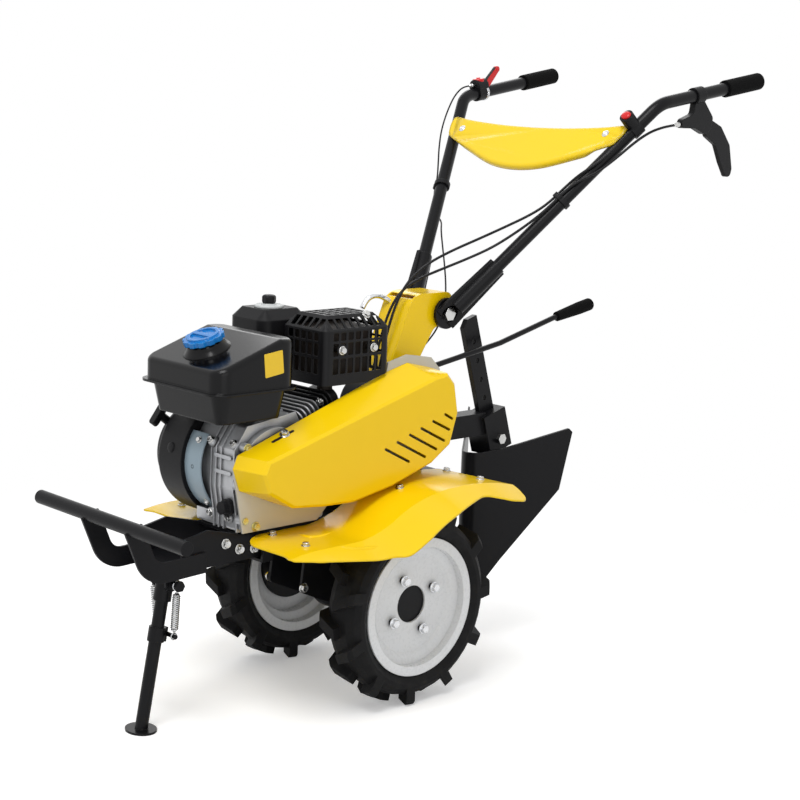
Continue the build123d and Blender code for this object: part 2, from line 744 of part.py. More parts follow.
# Muffler box over the cylinder, with its pipe down to the head
muffler_near_x = 72.0
stud_z = 655.0
stud_y = (guard_front_y + 41.0, guard_rear_y - 41.0)
with BuildPart() as muffler:
    with BuildSketch(Plane.XY.offset(606.0)):
        with Locations(((muffler_near_x - 16.0) / 2, axle_y - 78.0)):
            RectangleRounded(muffler_near_x + 16.0, 116.0, 12.0)
    extrude(amount=86.0)
    with BuildSketch(Plane.XY.offset(575.0)):
        with Locations((30.0, axle_y - 96.0)):
            Circle(14.0)
    extrude(amount=40.0)
    with BuildSketch(side_plane(muffler_near_x - 4.0)):
        with Locations(*[(y, stud_z) for y in stud_y]):
            Circle(6.0)
    extrude(amount=guard_near_x - 2.0 - running_gap - muffler_near_x + 4.0)
muffler.part.label = "muffler"
export_step(muffler.part, "parts/muffler.step")

# Muffler guard: a chamfered shell, open underneath
guard_chamfer = 25.0
guard_sheet = 2.0
guard_pitch = 17.5
guard_slot = 13.0
guard_rows = [(612.0, 640.0), (645.0, 668.0), (672.0, 687.0), (694.0, 710.0)]
guard_x = (guard_far_x + guard_near_x) / 2
guard_y = (guard_front_y + guard_rear_y) / 2
with BuildPart() as guard:
    for inset, mode in ((0.0, Mode.ADD), (guard_sheet, Mode.SUBTRACT)):
        wide = guard_near_x - guard_far_x - 2 * inset
        deep = guard_rear_y - guard_front_y - 2 * inset
        with BuildSketch(Plane.XY.offset(guard_bottom_z - inset)):
            with Locations((guard_x, guard_y)):
                RectangleRounded(wide, deep, 12.0 - inset)
        extrude(amount=guard_top_z - guard_bottom_z - guard_chamfer, mode=mode)
        with BuildSketch(Plane.XY.offset(guard_top_z - inset - guard_chamfer)):
            with Locations((guard_x, guard_y)):
                RectangleRounded(wide, deep, 12.0 - inset)
        extrude(amount=guard_chamfer, taper=44.0, mode=mode)
    with BuildSketch(side_plane(guard_far_x - 5.0)):
        with BuildLine():
            Polyline((guard_rear_y - 53.0, guard_bottom_z - 5.0),
                     (guard_rear_y + 5.0, guard_bottom_z - 5.0),
                     (guard_rear_y + 5.0, guard_bottom_z + 16.0), (guard_rear_y - 53.0, guard_bottom_z),
                     close=True)
        make_face()
    extrude(amount=guard_near_x - guard_far_x + 10.0, mode=Mode.SUBTRACT)
    columns = [guard_y + guard_pitch * (step - 3) for step in range(7)]
    with BuildSketch(side_plane(guard_near_x)):
        for low, high in guard_rows:
            with Locations(*[(y, (low + high) / 2) for y in columns]):
                RectangleRounded(guard_slot, high - low, 2.0)
        for y in stud_y:
            with Locations((y, stud_z)):
                Circle(11.0, mode=Mode.SUBTRACT)
    extrude(amount=-guard_chamfer - 3.0, mode=Mode.SUBTRACT)
    for y, way in ((guard_front_y, 1), (guard_rear_y, -1)):
        with BuildSketch(Plane.XZ.offset(-y)):
            for low, high in guard_rows:
                with Locations(*[(guard_x + guard_pitch * (step - 2),
                                  (low + high) / 2) for step in range(5)]):
                    RectangleRounded(guard_slot, high - low, 2.0)
        extrude(amount=-way * (guard_chamfer + 3.0), mode=Mode.SUBTRACT)
    with BuildSketch(Plane.XY.offset(guard_top_z - 8.0)):
        with Locations((guard_x, guard_y)):
            with GridLocations(guard_pitch, guard_pitch, 4, 6):
                RectangleRounded(guard_slot, guard_slot, 2.0)
    extrude(amount=20.0, mode=Mode.SUBTRACT)
guard.part.label = "muffler_guard"
export_step(guard.part, "parts/muffler_guard.step")

# Belt drive: the flat back plate, and the yellow cover over its pulleys
with BuildPart() as plate:
    with BuildSketch(side_plane(plate_x)):
        with BuildLine():
            Polyline(*[(axle_y + y, z) for y, z in (
                (-320, 347), (-150, 347), (-112, 383), (-15, 398), (84, 430), (130, 464), (148, 522),
                (150, 598),
                (126, 622), (63, 632), (15, 621), (11, 600), (-333, 487), (-343, 466))], close=True)
        make_face()
    extrude(amount=plate_sheet)
plate.part.label = "back_plate"
export_step(plate.part, "parts/back_plate.step")

cover_base_x = plate_x + plate_sheet + running_gap
cover_base = [(-250, 392), (-184, 385), (-110, 383), (-15, 398), (84, 429), (132, 462), (150, 522),
              (140, 585), (120, 604), (63, 617), (5, 603), (-335, 489), (-345, 466), (-330, 425)]
cover_face = [(-253, 394), (-184, 387), (-110, 385), (-15, 402), (84, 433), (130, 463), (148, 522),
              (137, 578), (117, 600), (83, 595), (5, 573), (-311, 484), (-321, 462), (-308, 427)]
cover_face_x = plate_x + plate_sheet + cover_depth
cover_round = 5.0
slots = [(-41, 475, 24, 442), (-12, 485, 65, 446), (19, 495, 94, 457), (48, 504, 114, 471),
         (78, 514, 126, 491),
         (109, 524, 133, 511)]
with BuildPart() as cover:
    for inset, mode in ((0.0, Mode.ADD), (cover_sheet, Mode.SUBTRACT)):
        for x, outline, bevel in ((cover_base_x, cover_base, 0.0),
                                  (cover_face_x - cover_round, cover_face, 0.0),
                                  (cover_face_x - inset, cover_face, cover_round)):
            with BuildSketch(side_plane(x)):
                with BuildLine():
                    Polyline(*[(axle_y + y, z) for y, z in outline], close=True)
                make_face()
                if inset + bevel:
                    offset(amount=-inset - bevel, kind=Kind.INTERSECTION)
        loft(ruled=True, mode=mode)
    for front_y, high_z, rear_y, low_z in slots:
        with BuildSketch(side_plane(cover_base_x + 30.0)):
            middle = (axle_y + (front_y + rear_y) / 2, (high_z + low_z) / 2)
            with Locations(Location((*middle, 0), (0, 0, degrees(atan2(low_z - high_z,
                                                                       rear_y - front_y))))):
                SlotOverall(hypot(rear_y - front_y, high_z - low_z), 5.0)
        extrude(amount=cover_depth, mode=Mode.SUBTRACT)
cover.part.label = "belt_cover"
export_step(cover.part, "parts/belt_cover.step")

# Fenders: a stepped sheet over each wheel, its outer edge falling away
fender_profile = [(-330, 331), (-276, 338), (-150, 338), (-95, 356), (-60, 376), (-20, 391), (30, 402),
                  (100, 405), (170, 399), (245, 383)]
fender_plan = [(70, -320), (192, -317), (216, -326), (240, -275), (271, -134), (286, -114), (287, -60),
               (274, 19), (247, 112), (267, 169), (266, 214), (220, 228), (192, 211), (112, 188),
               (62, 174),
               (70, 150)]
fender_round = 45.0
for side, hand in (("left", 1), ("right", -1)):
    with BuildPart() as fender:
        for x, drop in ((56.0, 0.0), (fender_crease_x, 0.0), (fender_outer_x, fender_droop)):
            with BuildSketch(side_plane(hand * x)):
                with BuildLine():
                    upper = [(axle_y + y, z - drop) for y, z in fender_profile]
                    lower = [(y, z - fender_sheet) for y, z in upper]
                    for line in (upper, lower):
                        FilletPolyline(*line, radius=bend_radii(line))
                    Line(upper[0], lower[0])
                    Line(upper[-1], lower[-1])
                make_face()
        loft(ruled=True)
        with BuildSketch(Plane.XY.offset(250.0)):
            with BuildLine():
                plan = [(hand * x, axle_y + y) for x, y in fender_plan]
                FilletPolyline(*plan, radius=bend_radii(plan, True, fender_round), close=True)
            make_face()
        extrude(amount=200.0, mode=Mode.INTERSECT)
    fender.part.label = f"fender_{side}"
    export_step(fender.part, f"parts/fender_{side}.step")

# Flat bars that carry the fenders, one under the beam and one behind the gear case
bracket_thick = 5.0
front_bar_top_z = 334.2
rear_bar_top_z = 393.0
front_bar_low_z = beam_bottom_z - 5.0
front_bar_step_x = 74.0
with BuildPart() as brackets:
    with BuildSketch(Plane.XZ.offset(248.0 - axle_y)):
        with BuildLine():
            mid = front_bar_top_z - bracket_thick / 2
            low = front_bar_low_z - bracket_thick / 2
            Polyline((-196.0, mid), (-front_bar_step_x - 6.0, mid), (-front_bar_step_x, low),
                     (front_bar_step_x, low), (front_bar_step_x + 6.0, mid), (196.0, mid))
        trace(line_width=bracket_thick)
    extrude(amount=24.0)
brackets.part.label = "fender_bracket_front"
export_step(brackets.part, "parts/fender_bracket_front.step")

with BuildPart() as rear_bracket:
    with BuildSketch(Plane.XY.offset(rear_bar_top_z - bracket_thick)):
        with Locations((0, axle_y + 170.0)):
            RectangleRounded(392.0, 24.0, 6.0)
    extrude(amount=bracket_thick)
    with BuildSketch(Plane.XY.offset(rear_bar_top_z - 1.0)):
        with Locations((0, axle_y + 170.0)):
            Rectangle(30.0, 12.0)
    extrude(amount=hitch_z - 5.0 - running_gap - rear_bar_top_z + 1.0)
rear_bracket.part.label = "fender_bracket_rear"
export_step(rear_bracket.part, "parts/fender_bracket_rear.step")

# Handle column: folded sheet, open underneath and behind, with the pivot's boss
column_outline = [(52, 585), (115, 737), (215, 737), (228, 690), (172, 668), (118, 585)]
column_bends = [38.0, 16.0, 14.0, 20.0]
with BuildPart() as column:
    with BuildSketch(side_plane(-column_half_width)):
        with BuildLine():
            FilletPolyline(*[(axle_y + y, z) for y, z in column_outline], radius=column_bends)
            Line((axle_y + 118, 585), (axle_y + 52, 585))
        make_face()
    extrude(amount=2 * column_half_width)
    with BuildSketch(side_plane(column_sheet - column_half_width)):
        with BuildLine():
            Polyline(*[(axle_y + y, z) for y, z in (
                (52 + 6, 570), (118, 733), (213, 733), (240, 690), (176, 660), (122, 570))], close=True)
        make_face()
    extrude(amount=2 * (column_half_width - column_sheet), mode=Mode.SUBTRACT)
    with BuildSketch(side_plane(-column_half_width - 5.0)):
        with Locations((pivot_y, pivot_z)):
            Circle(21.0)
    extrude(amount=2 * column_half_width + 10.0)
    with BuildSketch(side_plane(-column_half_width - 10.0)):
        with Locations((pivot_y, pivot_z)):
            Circle(pivot_radius + running_gap)
    extrude(amount=2 * column_half_width + 20.0, mode=Mode.SUBTRACT)
column.part.label = "handle_column"
export_step(column.part, "parts/handle_column.step")

# Pivot bolt with a hex head on each end
fork_x = column_half_width + fork_gap
pivot_end_x = fork_x + fork_sheet + 9.0
with BuildPart() as pivot_bolt:
    with BuildSketch(side_plane(-pivot_end_x)):
        with Locations((pivot_y, pivot_z)):
            Circle(pivot_radius)
    extrude(amount=2 * pivot_end_x)
    for hand in (1, -1):
        with BuildSketch(side_plane(hand * (fork_x + fork_sheet + running_gap))):
            with Locations((pivot_y, pivot_z)):
                RegularPolygon(14.0, 6)
        extrude(amount=hand * 9.0)
pivot_bolt.part.label = "pivot_bolt"
export_step(pivot_bolt.part, "parts/pivot_bolt.step")

# Handle arms, each with its fork round the pivot bolt, and the grips on their ends
fork_start = (60.0, axle_y + 208.0, 709.0)
fork_end = (101.0, axle_y + 275.0, 790.0)
arm_bend_radius = 55.0
for side, hand in (("left", 1), ("right", -1)):
    start = Vector(hand * fork_start[0], fork_start[1], fork_start[2])
    bend = Vector(hand * bend_x, bend_y, bend_z)
    tip = Vector(hand * grip_end_x, grip_end_y, grip_end_z)
    along = (bend - start).normalized()
    outward = (tip - bend).normalized()
    across = along.cross(outward).normalized()
    with BuildPart() as arm:
        with BuildLine() as run:
            FilletPolyline(start, bend, tip, radius=arm_bend_radius)
        with BuildSketch(Plane(origin=start, z_dir=along)):
            Circle(arm_radius)
        sweep()
        with BuildSketch(Plane(origin=start, z_dir=along)):
            Circle(arm_radius + 3.5)
        extrude(amount=(Vector(hand * fork_end[0], fork_end[1], fork_end[2]) - start).length)
        with BuildSketch(side_plane(hand * fork_x)):
            with Locations((pivot_y, pivot_z)):
                Circle(30.0)
        extrude(amount=hand * fork_sheet)
        plate_normal = (Vector(hand, 0, 0) - along * (along.X * hand)).normalized()
        foot = start - along * ((fork_start[0] - fork_x - fork_sheet / 2) / abs(along.X))
        with BuildSketch(Plane(origin=foot, x_dir=along, z_dir=plate_normal).offset(-fork_sheet / 2)):
            with BuildLine():
                Polyline((6.0, -28.0), (6.0, 28.0), (150.0, 22.0), (150.0, -22.0), close=True)
            make_face()
        extrude(amount=fork_sheet)
        with BuildSketch(side_plane(hand * (fork_x - 2.0))):
            with Locations((pivot_y, pivot_z)):
                Circle(pivot_radius + running_gap)
        extrude(amount=hand * (fork_sheet + 4.0), mode=Mode.SUBTRACT)
        with BuildSketch(side_plane(hand * (fork_x + fork_sheet))):
            with Locations((pivot_y, pivot_z)):
                Circle(17.0)
        extrude(amount=hand * 20.0, mode=Mode.SUBTRACT)
    arm.part.label = f"handle_arm_{side}"
    export_step(arm.part, f"parts/handle_arm_{side}.step")

    with BuildPart() as grip:
        with BuildSketch(Plane(origin=tip - outward * (grip_length - 4.0), z_dir=outward)):
            Circle(grip_radius)
        extrude(amount=grip_length)
        fillet(grip.faces().sort_by(Axis(tip, outward))[-1].edges(), radius=4.0)
        with BuildSketch(Plane(origin=tip - outward * (grip_length + 4.0), z_dir=outward)):
            Circle(arm_radius + running_gap)
        extrude(amount=grip_length + 4.0 + running_gap, mode=Mode.SUBTRACT)
    grip.part.label = f"grip_{side}"
    export_step(grip.part, f"parts/grip_{side}.step")

# Dished panel between the arms, with a deep rim that is notched over them
panel_y = axle_y + 464.0
panel_z = 1044.0
panel_face = Plane(origin=(0, panel_y, panel_z), x_dir=(1, 0, 0), z_dir=(0, -0.771, 0.637))
panel_rim = 14.0
panel_sheet = 2.0
panel_round = 60.0
half_panel = [(120, 10), (200, 17), (218, 18), (223, 8), (216, -8), (190, -18), (120, -55), (60, -78)]
arm_line = Vector(bend_x, bend_y, bend_z) - Vector(*fork_start)
with BuildPart() as panel:
    for inset, top, mode in ((0.0, 0.0, Mode.ADD), (panel_sheet, -panel_sheet, Mode.SUBTRACT)):
        with BuildSketch(panel_face.offset(top)):
            with BuildLine():
                outline = [(0, 8), *half_panel, (0, -85), *[(-u, v) for u, v in reversed(half_panel)]]
                FilletPolyline(*outline, radius=bend_radii(outline, True, panel_round), close=True)
            make_face()
            if inset:
                offset(amount=-inset, kind=Kind.INTERSECTION)
        extrude(amount=-panel_rim, mode=mode)
    for hand in (1, -1):
        base = Vector(hand * fork_start[0], fork_start[1], fork_start[2])
        way = Vector(hand * arm_line.X, arm_line.Y, arm_line.Z)
        with BuildSketch(Plane(origin=base + way * 0.6, z_dir=way.normalized())):
            Circle(arm_radius + running_gap)
        extrude(amount=way.length * 0.35, mode=Mode.SUBTRACT)
panel.part.label = "handle_panel"
export_step(panel.part, "parts/handle_panel.step")

# A point on an arm's straight lower or upper run, at this distance from the front
def on_arm(hand, y):
    low, high = (Vector(*fork_start), Vector(bend_x, bend_y, bend_z))
    if y > bend_y:
        low, high = (high, Vector(grip_end_x, grip_end_y, grip_end_z))
    point = low + (high - low) * ((y - low.Y) / (high.Y - low.Y))
    way = (high - low).normalized()
    way = Vector(hand * way.X, way.Y, way.Z)
    return Plane(origin=(hand * point.X, point.Y, point.Z),
                 x_dir=Vector(hand, 0, 0) - way * (hand * way.X), z_dir=way)


# Clutch lever under the left grip, in one piece with its perch and clamp
ring_radius = arm_radius + 4.0
switch_radius = 14.0
switch_reach = 38.0
clutch_y = axle_y + 634.0
perch = on_arm(1, clutch_y).origin
perch_outline = [(-38, -62), (-38, -46), (-2, -34), (2, -7), (28, -7), (60, -40), (56, -64), (38, -74),
                 (6, -62)]
lever_outline = [(38, -74), (56, -44), (92, -58), (124, -94), (136, -142), (132, -156), (118, -159),
                 (96, -128),
                 (77, -94)]
with BuildPart() as clutch:
    with BuildSketch(on_arm(1, clutch_y)):
        Circle(ring_radius)
    extrude(amount=24.0)
    for x, thick, outline in ((-7.0, 14.0, perch_outline), (-4.0, 9.0, lever_outline)):
        with BuildSketch(side_plane(perch.X + x)):
            with BuildLine():
                outline = [(perch.Y + y, perch.Z + z) for y, z in outline]
                FilletPolyline(*outline, radius=bend_radii(outline, True, 10.0), close=True)
            make_face()
        extrude(amount=thick)
    with BuildSketch(on_arm(1, clutch_y - 14.0)):
        Circle(arm_radius + running_gap)
    extrude(amount=60.0, mode=Mode.SUBTRACT)
clutch.part.label = "clutch_lever"
export_step(clutch.part, "parts/clutch_lever.step")

# Throttle control on the right arm, and the stop switch on the left one
throttle_y = axle_y + 572.0
throttle_ring = on_arm(-1, throttle_y).origin
with BuildPart() as throttle:
    with BuildSketch(on_arm(-1, throttle_y)):
        Circle(ring_radius)
        with Locations((0, 14.0)):
            Circle(16.0)
    extrude(amount=28.0)
    with BuildSketch(side_plane(throttle_ring.X - 2.5)):
        with BuildLine():
            Polyline(*[(throttle_ring.Y + y, throttle_ring.Z + z)
                       for y, z in ((14, 17), (34, 17), (62, 51), (56, 59))], close=True)
        make_face()
    extrude(amount=8.0)
    with BuildSketch(on_arm(-1, throttle_y - 12.0)):
        Circle(arm_radius + running_gap)
    extrude(amount=60.0, mode=Mode.SUBTRACT)
throttle.part.label = "throttle_control"
export_step(throttle.part, "parts/throttle_control.step")

switch_y = axle_y + 497.0
with BuildPart() as switch:
    with BuildSketch(on_arm(1, switch_y)):
        Circle(ring_radius)
    extrude(amount=11.0, both=True)
    spot = on_arm(1, switch_y)
    with BuildSketch(Plane(origin=spot.origin, x_dir=(1, 0, 0), z_dir=-spot.y_dir)):
        Circle(switch_radius)
    extrude(amount=switch_reach)
    with BuildSketch(on_arm(1, switch_y - 30.0)):
        Circle(arm_radius + running_gap)
    extrude(amount=80.0, mode=Mode.SUBTRACT)
switch.part.label = "stop_switch"
export_step(switch.part, "parts/stop_switch.step")

# Gear lever with its eye on the gear case's lug, and its grip
lever_rod_radius = 5.5
lever_points = [(lever_eye_x + 6.0, lever_eye_y + 7.0, lever_eye_z + 10.0), (40.0, axle_y + 163.0, 594.0),
                (40.0, axle_y + 357.0, 626.0), (40.0, axle_y + 513.0, 666.0),
                (40.0, axle_y + 626.0, 688.0)]
with BuildPart() as lever:
    with BuildLine():
        FilletPolyline(*lever_points, radius=[18.0, 60.0, 60.0])
    with BuildSketch(Plane(origin=lever_points[0],
                           z_dir=Vector(*lever_points[1]) - Vector(*lever_points[0]))):
        Circle(lever_rod_radius)
    sweep()
    with BuildSketch(side_plane(lever_eye_x)):
        with Locations((lever_eye_y, lever_eye_z)):
            Circle(13.0)
    extrude(amount=12.0)
    with BuildSketch(side_plane(lever_eye_x - 5.0)):
        with Locations((lever_eye_y, lever_eye_z)):
            Circle(4.0 + running_gap)
    extrude(amount=30.0, mode=Mode.SUBTRACT)
lever.part.label = "gear_lever"
export_step(lever.part, "parts/gear_lever.step")

grip_way = (Vector(*lever_points[4]) - Vector(*lever_points[3])).normalized()
grip_foot = Vector(*lever_points[4]) - grip_way * 104.0
with BuildPart() as lever_grip:
    with BuildSketch(Plane(origin=grip_foot, x_dir=(1, 0, 0), z_dir=grip_way)):
        Circle(10.0)
    with BuildSketch(Plane(origin=grip_foot + grip_way * 70.0, x_dir=(1, 0, 0), z_dir=grip_way)):
        Circle(13.0)
    loft()
    with BuildSketch(Plane(origin=grip_foot + grip_way * 70.0, x_dir=(1, 0, 0), z_dir=grip_way)):
        Circle(13.0)
    extrude(amount=37.0)
    fillet(lever_grip.faces().sort_by(Axis(grip_foot, grip_way))[-1].edges(), radius=6.0)
    with BuildSketch(Plane(origin=grip_foot - grip_way * 5.0, x_dir=(1, 0, 0), z_dir=grip_way)):
        Circle(lever_rod_radius + running_gap)
    extrude(amount=109.0 + running_gap, mode=Mode.SUBTRACT)
lever_grip.part.label = "gear_lever_grip"
export_step(lever_grip.part, "parts/gear_lever_grip.step")

# Hitch behind the gear case: a box beam and a tilted socket for the depth bar
ridger_axis = Vector(0, -sin(radians(ridger_tilt)), cos(radians(ridger_tilt)))
hitch_plane = Plane(origin=(0, hitch_y, hitch_z), x_dir=(1, 0, 0), z_dir=ridger_axis)
socket_wide = 56.0
socket_deep = 62.0
screw_drop = 16.0
case_rear_y = axle_y + 118.0
with BuildPart() as hitch:
    with BuildSketch(side_plane(-20.0)):
        with BuildLine():
            Polyline((case_rear_y + running_gap, hitch_z - 5.0),
                     (case_rear_y + running_gap, hitch_z + 40.0),
                     (hitch_y - 30.0, hitch_z + 40.0), (hitch_y - 20.0, hitch_z - 5.0), close=True)
        make_face()
    extrude(amount=40.0)
    with BuildSketch(hitch_plane.offset(-hitch_height / 2)):
        Rectangle(socket_wide, socket_deep)
    extrude(amount=hitch_height)
    with BuildSketch(hitch_plane.offset(-hitch_height)):
        Rectangle(shank_thickness + 2 * shank_clearance, shank_width + 2 * shank_clearance)
    extrude(amount=2 * hitch_height, mode=Mode.SUBTRACT)
    screw_spot = hitch_plane.origin - ridger_axis * screw_drop
    with BuildSketch(side_plane(0)):
        with Locations((screw_spot.Y, screw_spot.Z)):
            Circle(pin_radius + 1.0 + running_gap)
    extrude(amount=socket_wide, mode=Mode.SUBTRACT)
hitch.part.label = "hitch"
export_step(hitch.part, "parts/hitch.step")

# Clamp screw that holds the depth bar in the socket
with BuildPart() as screw:
    with BuildSketch(side_plane(shank_thickness / 2 + running_gap)):
        with Locations((screw_spot.Y, screw_spot.Z)):
            Circle(pin_radius + 1.0)
    extrude(amount=socket_wide / 2)
    with BuildSketch(side_plane(socket_wide / 2 + running_gap)):
        with Locations((screw_spot.Y, screw_spot.Z)):
            RegularPolygon(11.0, 6)
    extrude(amount=9.0)
screw.part.label = "hitch_screw"
export_step(screw.part, "parts/hitch_screw.step")

# Depth bar with its row of holes, and the furrower on its lower end
hole_first = 30.0
hole_pitch = 41.0
hole_count = 5
foot_bolts = (-72.0, -102.0)
with BuildPart() as bar:
    with BuildSketch(Plane(origin=hitch_plane.origin, x_dir=ridger_axis, z_dir=(1, 0, 0))):
        with BuildLine():
            half = shank_width / 2
            Polyline((-shank_below, half), (-shank_below, -half), (shank_above, -half),
                     (shank_above, half - 14.0), (shank_above - 14.0, half), close=True)
        make_face()
        with Locations(*[(hole_first + hole_pitch * step, 0) for step in range(hole_count)]):
            Circle(pin_radius, mode=Mode.SUBTRACT)
        with Locations(*[(spot, 0) for spot in foot_bolts]):
            Circle(pin_radius + running_gap, mode=Mode.SUBTRACT)
    extrude(amount=shank_thickness / 2, both=True)
bar.part.label = "depth_bar"
export_step(bar.part, "parts/depth_bar.step")

nose_y = axle_y + 302.0
wing_spread = 150.0
cheek_x = shank_thickness / 2 + running_gap
with BuildPart() as furrower:
    with BuildSketch(Plane.XY.offset(60.0)):
        with BuildLine():
            wing_y = nose_y + wing_spread / tan(radians(wing_half_angle))
            FilletPolyline((-wing_spread, wing_y), (0, nose_y), (wing_spread, wing_y), radius=26.0)
        trace(line_width=wing_sheet)
    extrude(amount=410.0)
    with BuildSketch(side_plane(-wing_spread - 10.0)):
        with BuildLine():
            Polyline(*[(axle_y + y, z) for y, z in (
                (290, 72), (312, 78), (366, 181), (452, 331), (468, 450), (463, 457), (364, 412),
                (330, 402),
                (290, 400))], close=True)
        make_face()
    extrude(amount=2 * wing_spread + 20.0, mode=Mode.INTERSECT)
    for hand in (1, -1):
        with BuildSketch(side_plane(hand * cheek_x)):
            with BuildLine():
                Polyline(*[(axle_y + y, z) for y, z in (
                    (316, 318), (400, 314), (434, 330), (438, 350), (424, 386), (316, 386))], close=True)
            make_face()
        extrude(amount=hand * 5.0)
    for spot in foot_bolts:
        centre = hitch_plane.origin + ridger_axis * spot
        with BuildSketch(side_plane(-cheek_x - 12.0)):
            with Locations((centre.Y, centre.Z)):
                Circle(pin_radius)
        extrude(amount=2 * cheek_x + 24.0)
furrower.part.label = "furrower"
export_step(furrower.part, "parts/furrower.step")

# Bowden cables and the stop switch's wire: straight runs joined by tangent arcs
thick_cable = 2.6
thin_cable = 1.7
cables = {
    "throttle_cable": (thin_cable, [
        (-266, 568, 1130), (-266, 538, 1130), (-264, 508, 1110), (-261, 484, 1076), (-255, 462, 1036),
        (-238, 440, 998), (-216, 418, 966), (-194, 395, 937), (-178, 370, 906), (-162, 363, 866),
        (-138, 357, 855), (-112, 330, 840), (-80, 304, 812), (-44, 276, 778), (-12, 250, 742),
        (0, 238, 704),
        (0, 222, 662), (0, 182, 626), (0, 146, 604), (0, 112, 590)]),
    "clutch_cable": (thick_cable, [
        (270, 593, 1069), (270, 566, 1066), (269, 540, 1062), (262, 513, 1053), (250, 484, 1033),
        (231, 453, 1001), (215, 422, 975), (196, 396, 960), (177, 378, 941), (160, 350, 907),
        (142, 326, 880), (116, 296, 850), (92, 264, 824), (66, 224, 802), (42, 180, 782), (22, 140, 764),
        (9, 106, 740), (4, 84, 704), (4, 67, 662), (4, 54, 620), (4, 45, 584)]),
    "switch_wire": (thick_cable, [
        (247, 475, 1056), (236, 458, 1034), (222, 437, 1006), (205, 416, 985), (187, 398, 967),
        (168, 382, 943), (150, 354, 910), (128, 330, 888), (104, 288, 865), (82, 240, 842),
        (60, 192, 820), (42, 146, 796), (28, 112, 766), (21, 88, 726), (20, 70, 680), (20, 56, 632),
        (21, 44, 586)]),
}
clip_holes = {1: (axle_y + 376.0, [(-7.0, -15.5), (3.5, -16.5)], thick_cable),
              -1: (axle_y + 384.0, [(16.0, 1.0)], thin_cable)}
with BuildPart() as clips:
    for hand, (y, holes, cable_radius) in clip_holes.items():
        with BuildSketch(on_arm(hand, y)):
            Circle(ring_radius)
            with Locations(*holes):
                Circle(cable_radius + 3.0)
            Circle(arm_radius + running_gap, mode=Mode.SUBTRACT)
            with Locations(*holes):
                Circle(cable_radius, mode=Mode.SUBTRACT)
        extrude(amount=10.0)
clips.part.label = "cable_clips"
export_step(clips.part, "parts/cable_clips.step")

for name, (cable_radius, points) in cables.items():
    route = [Vector(x, axle_y + y, z) for x, y, z in points]
    radii = bend_radii(points)
    print(name, "bend radii", [round(radius) for radius in radii])
    with BuildPart() as cable:
        with BuildLine() as run:
            FilletPolyline(*route, radius=radii)
        with BuildSketch(Plane(origin=route[0], z_dir=route[1] - route[0])):
            Circle(cable_radius)
        sweep()
    length = sum(edge.length for edge in run.edges())
    section = pi * cable_radius ** 2
    print(name, "length", round(length), "volume ratio", round(cable.part.volume / (section * length), 4))
    cable.part.label = name
    export_step(cable.part, f"parts/{name}.step")
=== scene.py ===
import math

import bpy
from mathutils import Matrix, Vector


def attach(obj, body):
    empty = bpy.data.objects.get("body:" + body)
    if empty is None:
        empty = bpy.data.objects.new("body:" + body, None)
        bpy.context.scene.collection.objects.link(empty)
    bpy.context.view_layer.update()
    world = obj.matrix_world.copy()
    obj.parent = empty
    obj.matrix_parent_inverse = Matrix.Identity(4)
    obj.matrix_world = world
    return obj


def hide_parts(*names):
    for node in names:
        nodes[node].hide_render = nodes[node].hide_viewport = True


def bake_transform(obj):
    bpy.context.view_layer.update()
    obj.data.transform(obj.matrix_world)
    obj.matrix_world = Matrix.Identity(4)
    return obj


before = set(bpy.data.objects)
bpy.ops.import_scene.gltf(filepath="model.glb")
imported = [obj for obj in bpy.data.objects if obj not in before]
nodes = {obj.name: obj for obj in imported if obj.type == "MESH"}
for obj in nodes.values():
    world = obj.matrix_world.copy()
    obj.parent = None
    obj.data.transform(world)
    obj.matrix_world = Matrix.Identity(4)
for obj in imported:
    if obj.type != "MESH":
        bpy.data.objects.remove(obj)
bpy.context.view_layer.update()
scene = bpy.context.scene
scene.view_settings.view_transform = "Standard"

# The wheel axle's place in the side view, from which the fenders, the guard and the wheels take theirs
axleY, axleZ = -0.140, 0.185

# Camera, from the photograph's perspective
view = {
    "place": (2.3601, -2.2737, 1.1242), "lens": 77.3, "sensor": 36.0, "near": 0.05, "far": 60.0,
    "right": (0.6864, 0.7264, 0.0343),
    "up": (-0.15393, 0.09898, 0.98311),
    "back": (0.71077, -0.68006, 0.17976),
}
camera = bpy.data.objects.new("camera", bpy.data.cameras.new("camera"))
camera.data.lens = view["lens"]
camera.data.sensor_width = view["sensor"]
camera.data.clip_start = view["near"]
camera.data.clip_end = view["far"]
axes = Matrix((view["right"], view["up"], view["back"])).transposed()
camera.matrix_world = Matrix.Translation(view["place"]) @ axes.to_4x4()
scene.collection.objects.link(camera)
scene.camera = camera
print("camera set")


# Materials
def nodeTree(name):
    material = bpy.data.materials.new(name)
    material.use_nodes = True
    tree = material.node_tree
    shader = next(n for n in tree.nodes if n.type == "BSDF_PRINCIPLED")
    return material, tree, shader


# Noise, edge and hollow settings: the lighter edges are partly wear and partly painted highlight, and the
# darker hollows are painted shade
wearAndLightPattern = {
    "coarse": 0.12, "coarseDetail": 5.0, "fineDetail": 3.0, "edgeSamples": 4,
    "edgeFrom": 0.985, "edgeTo": 0.9, "edgeMost": 0.8, "dustFrom": 0.45, "dustTo": 0.75,
    "shelterSamples": 8, "shelterReach": 0.02, "shelterFrom": 0.25, "shelterTo": 0.85, "sheen": 0.2,
}


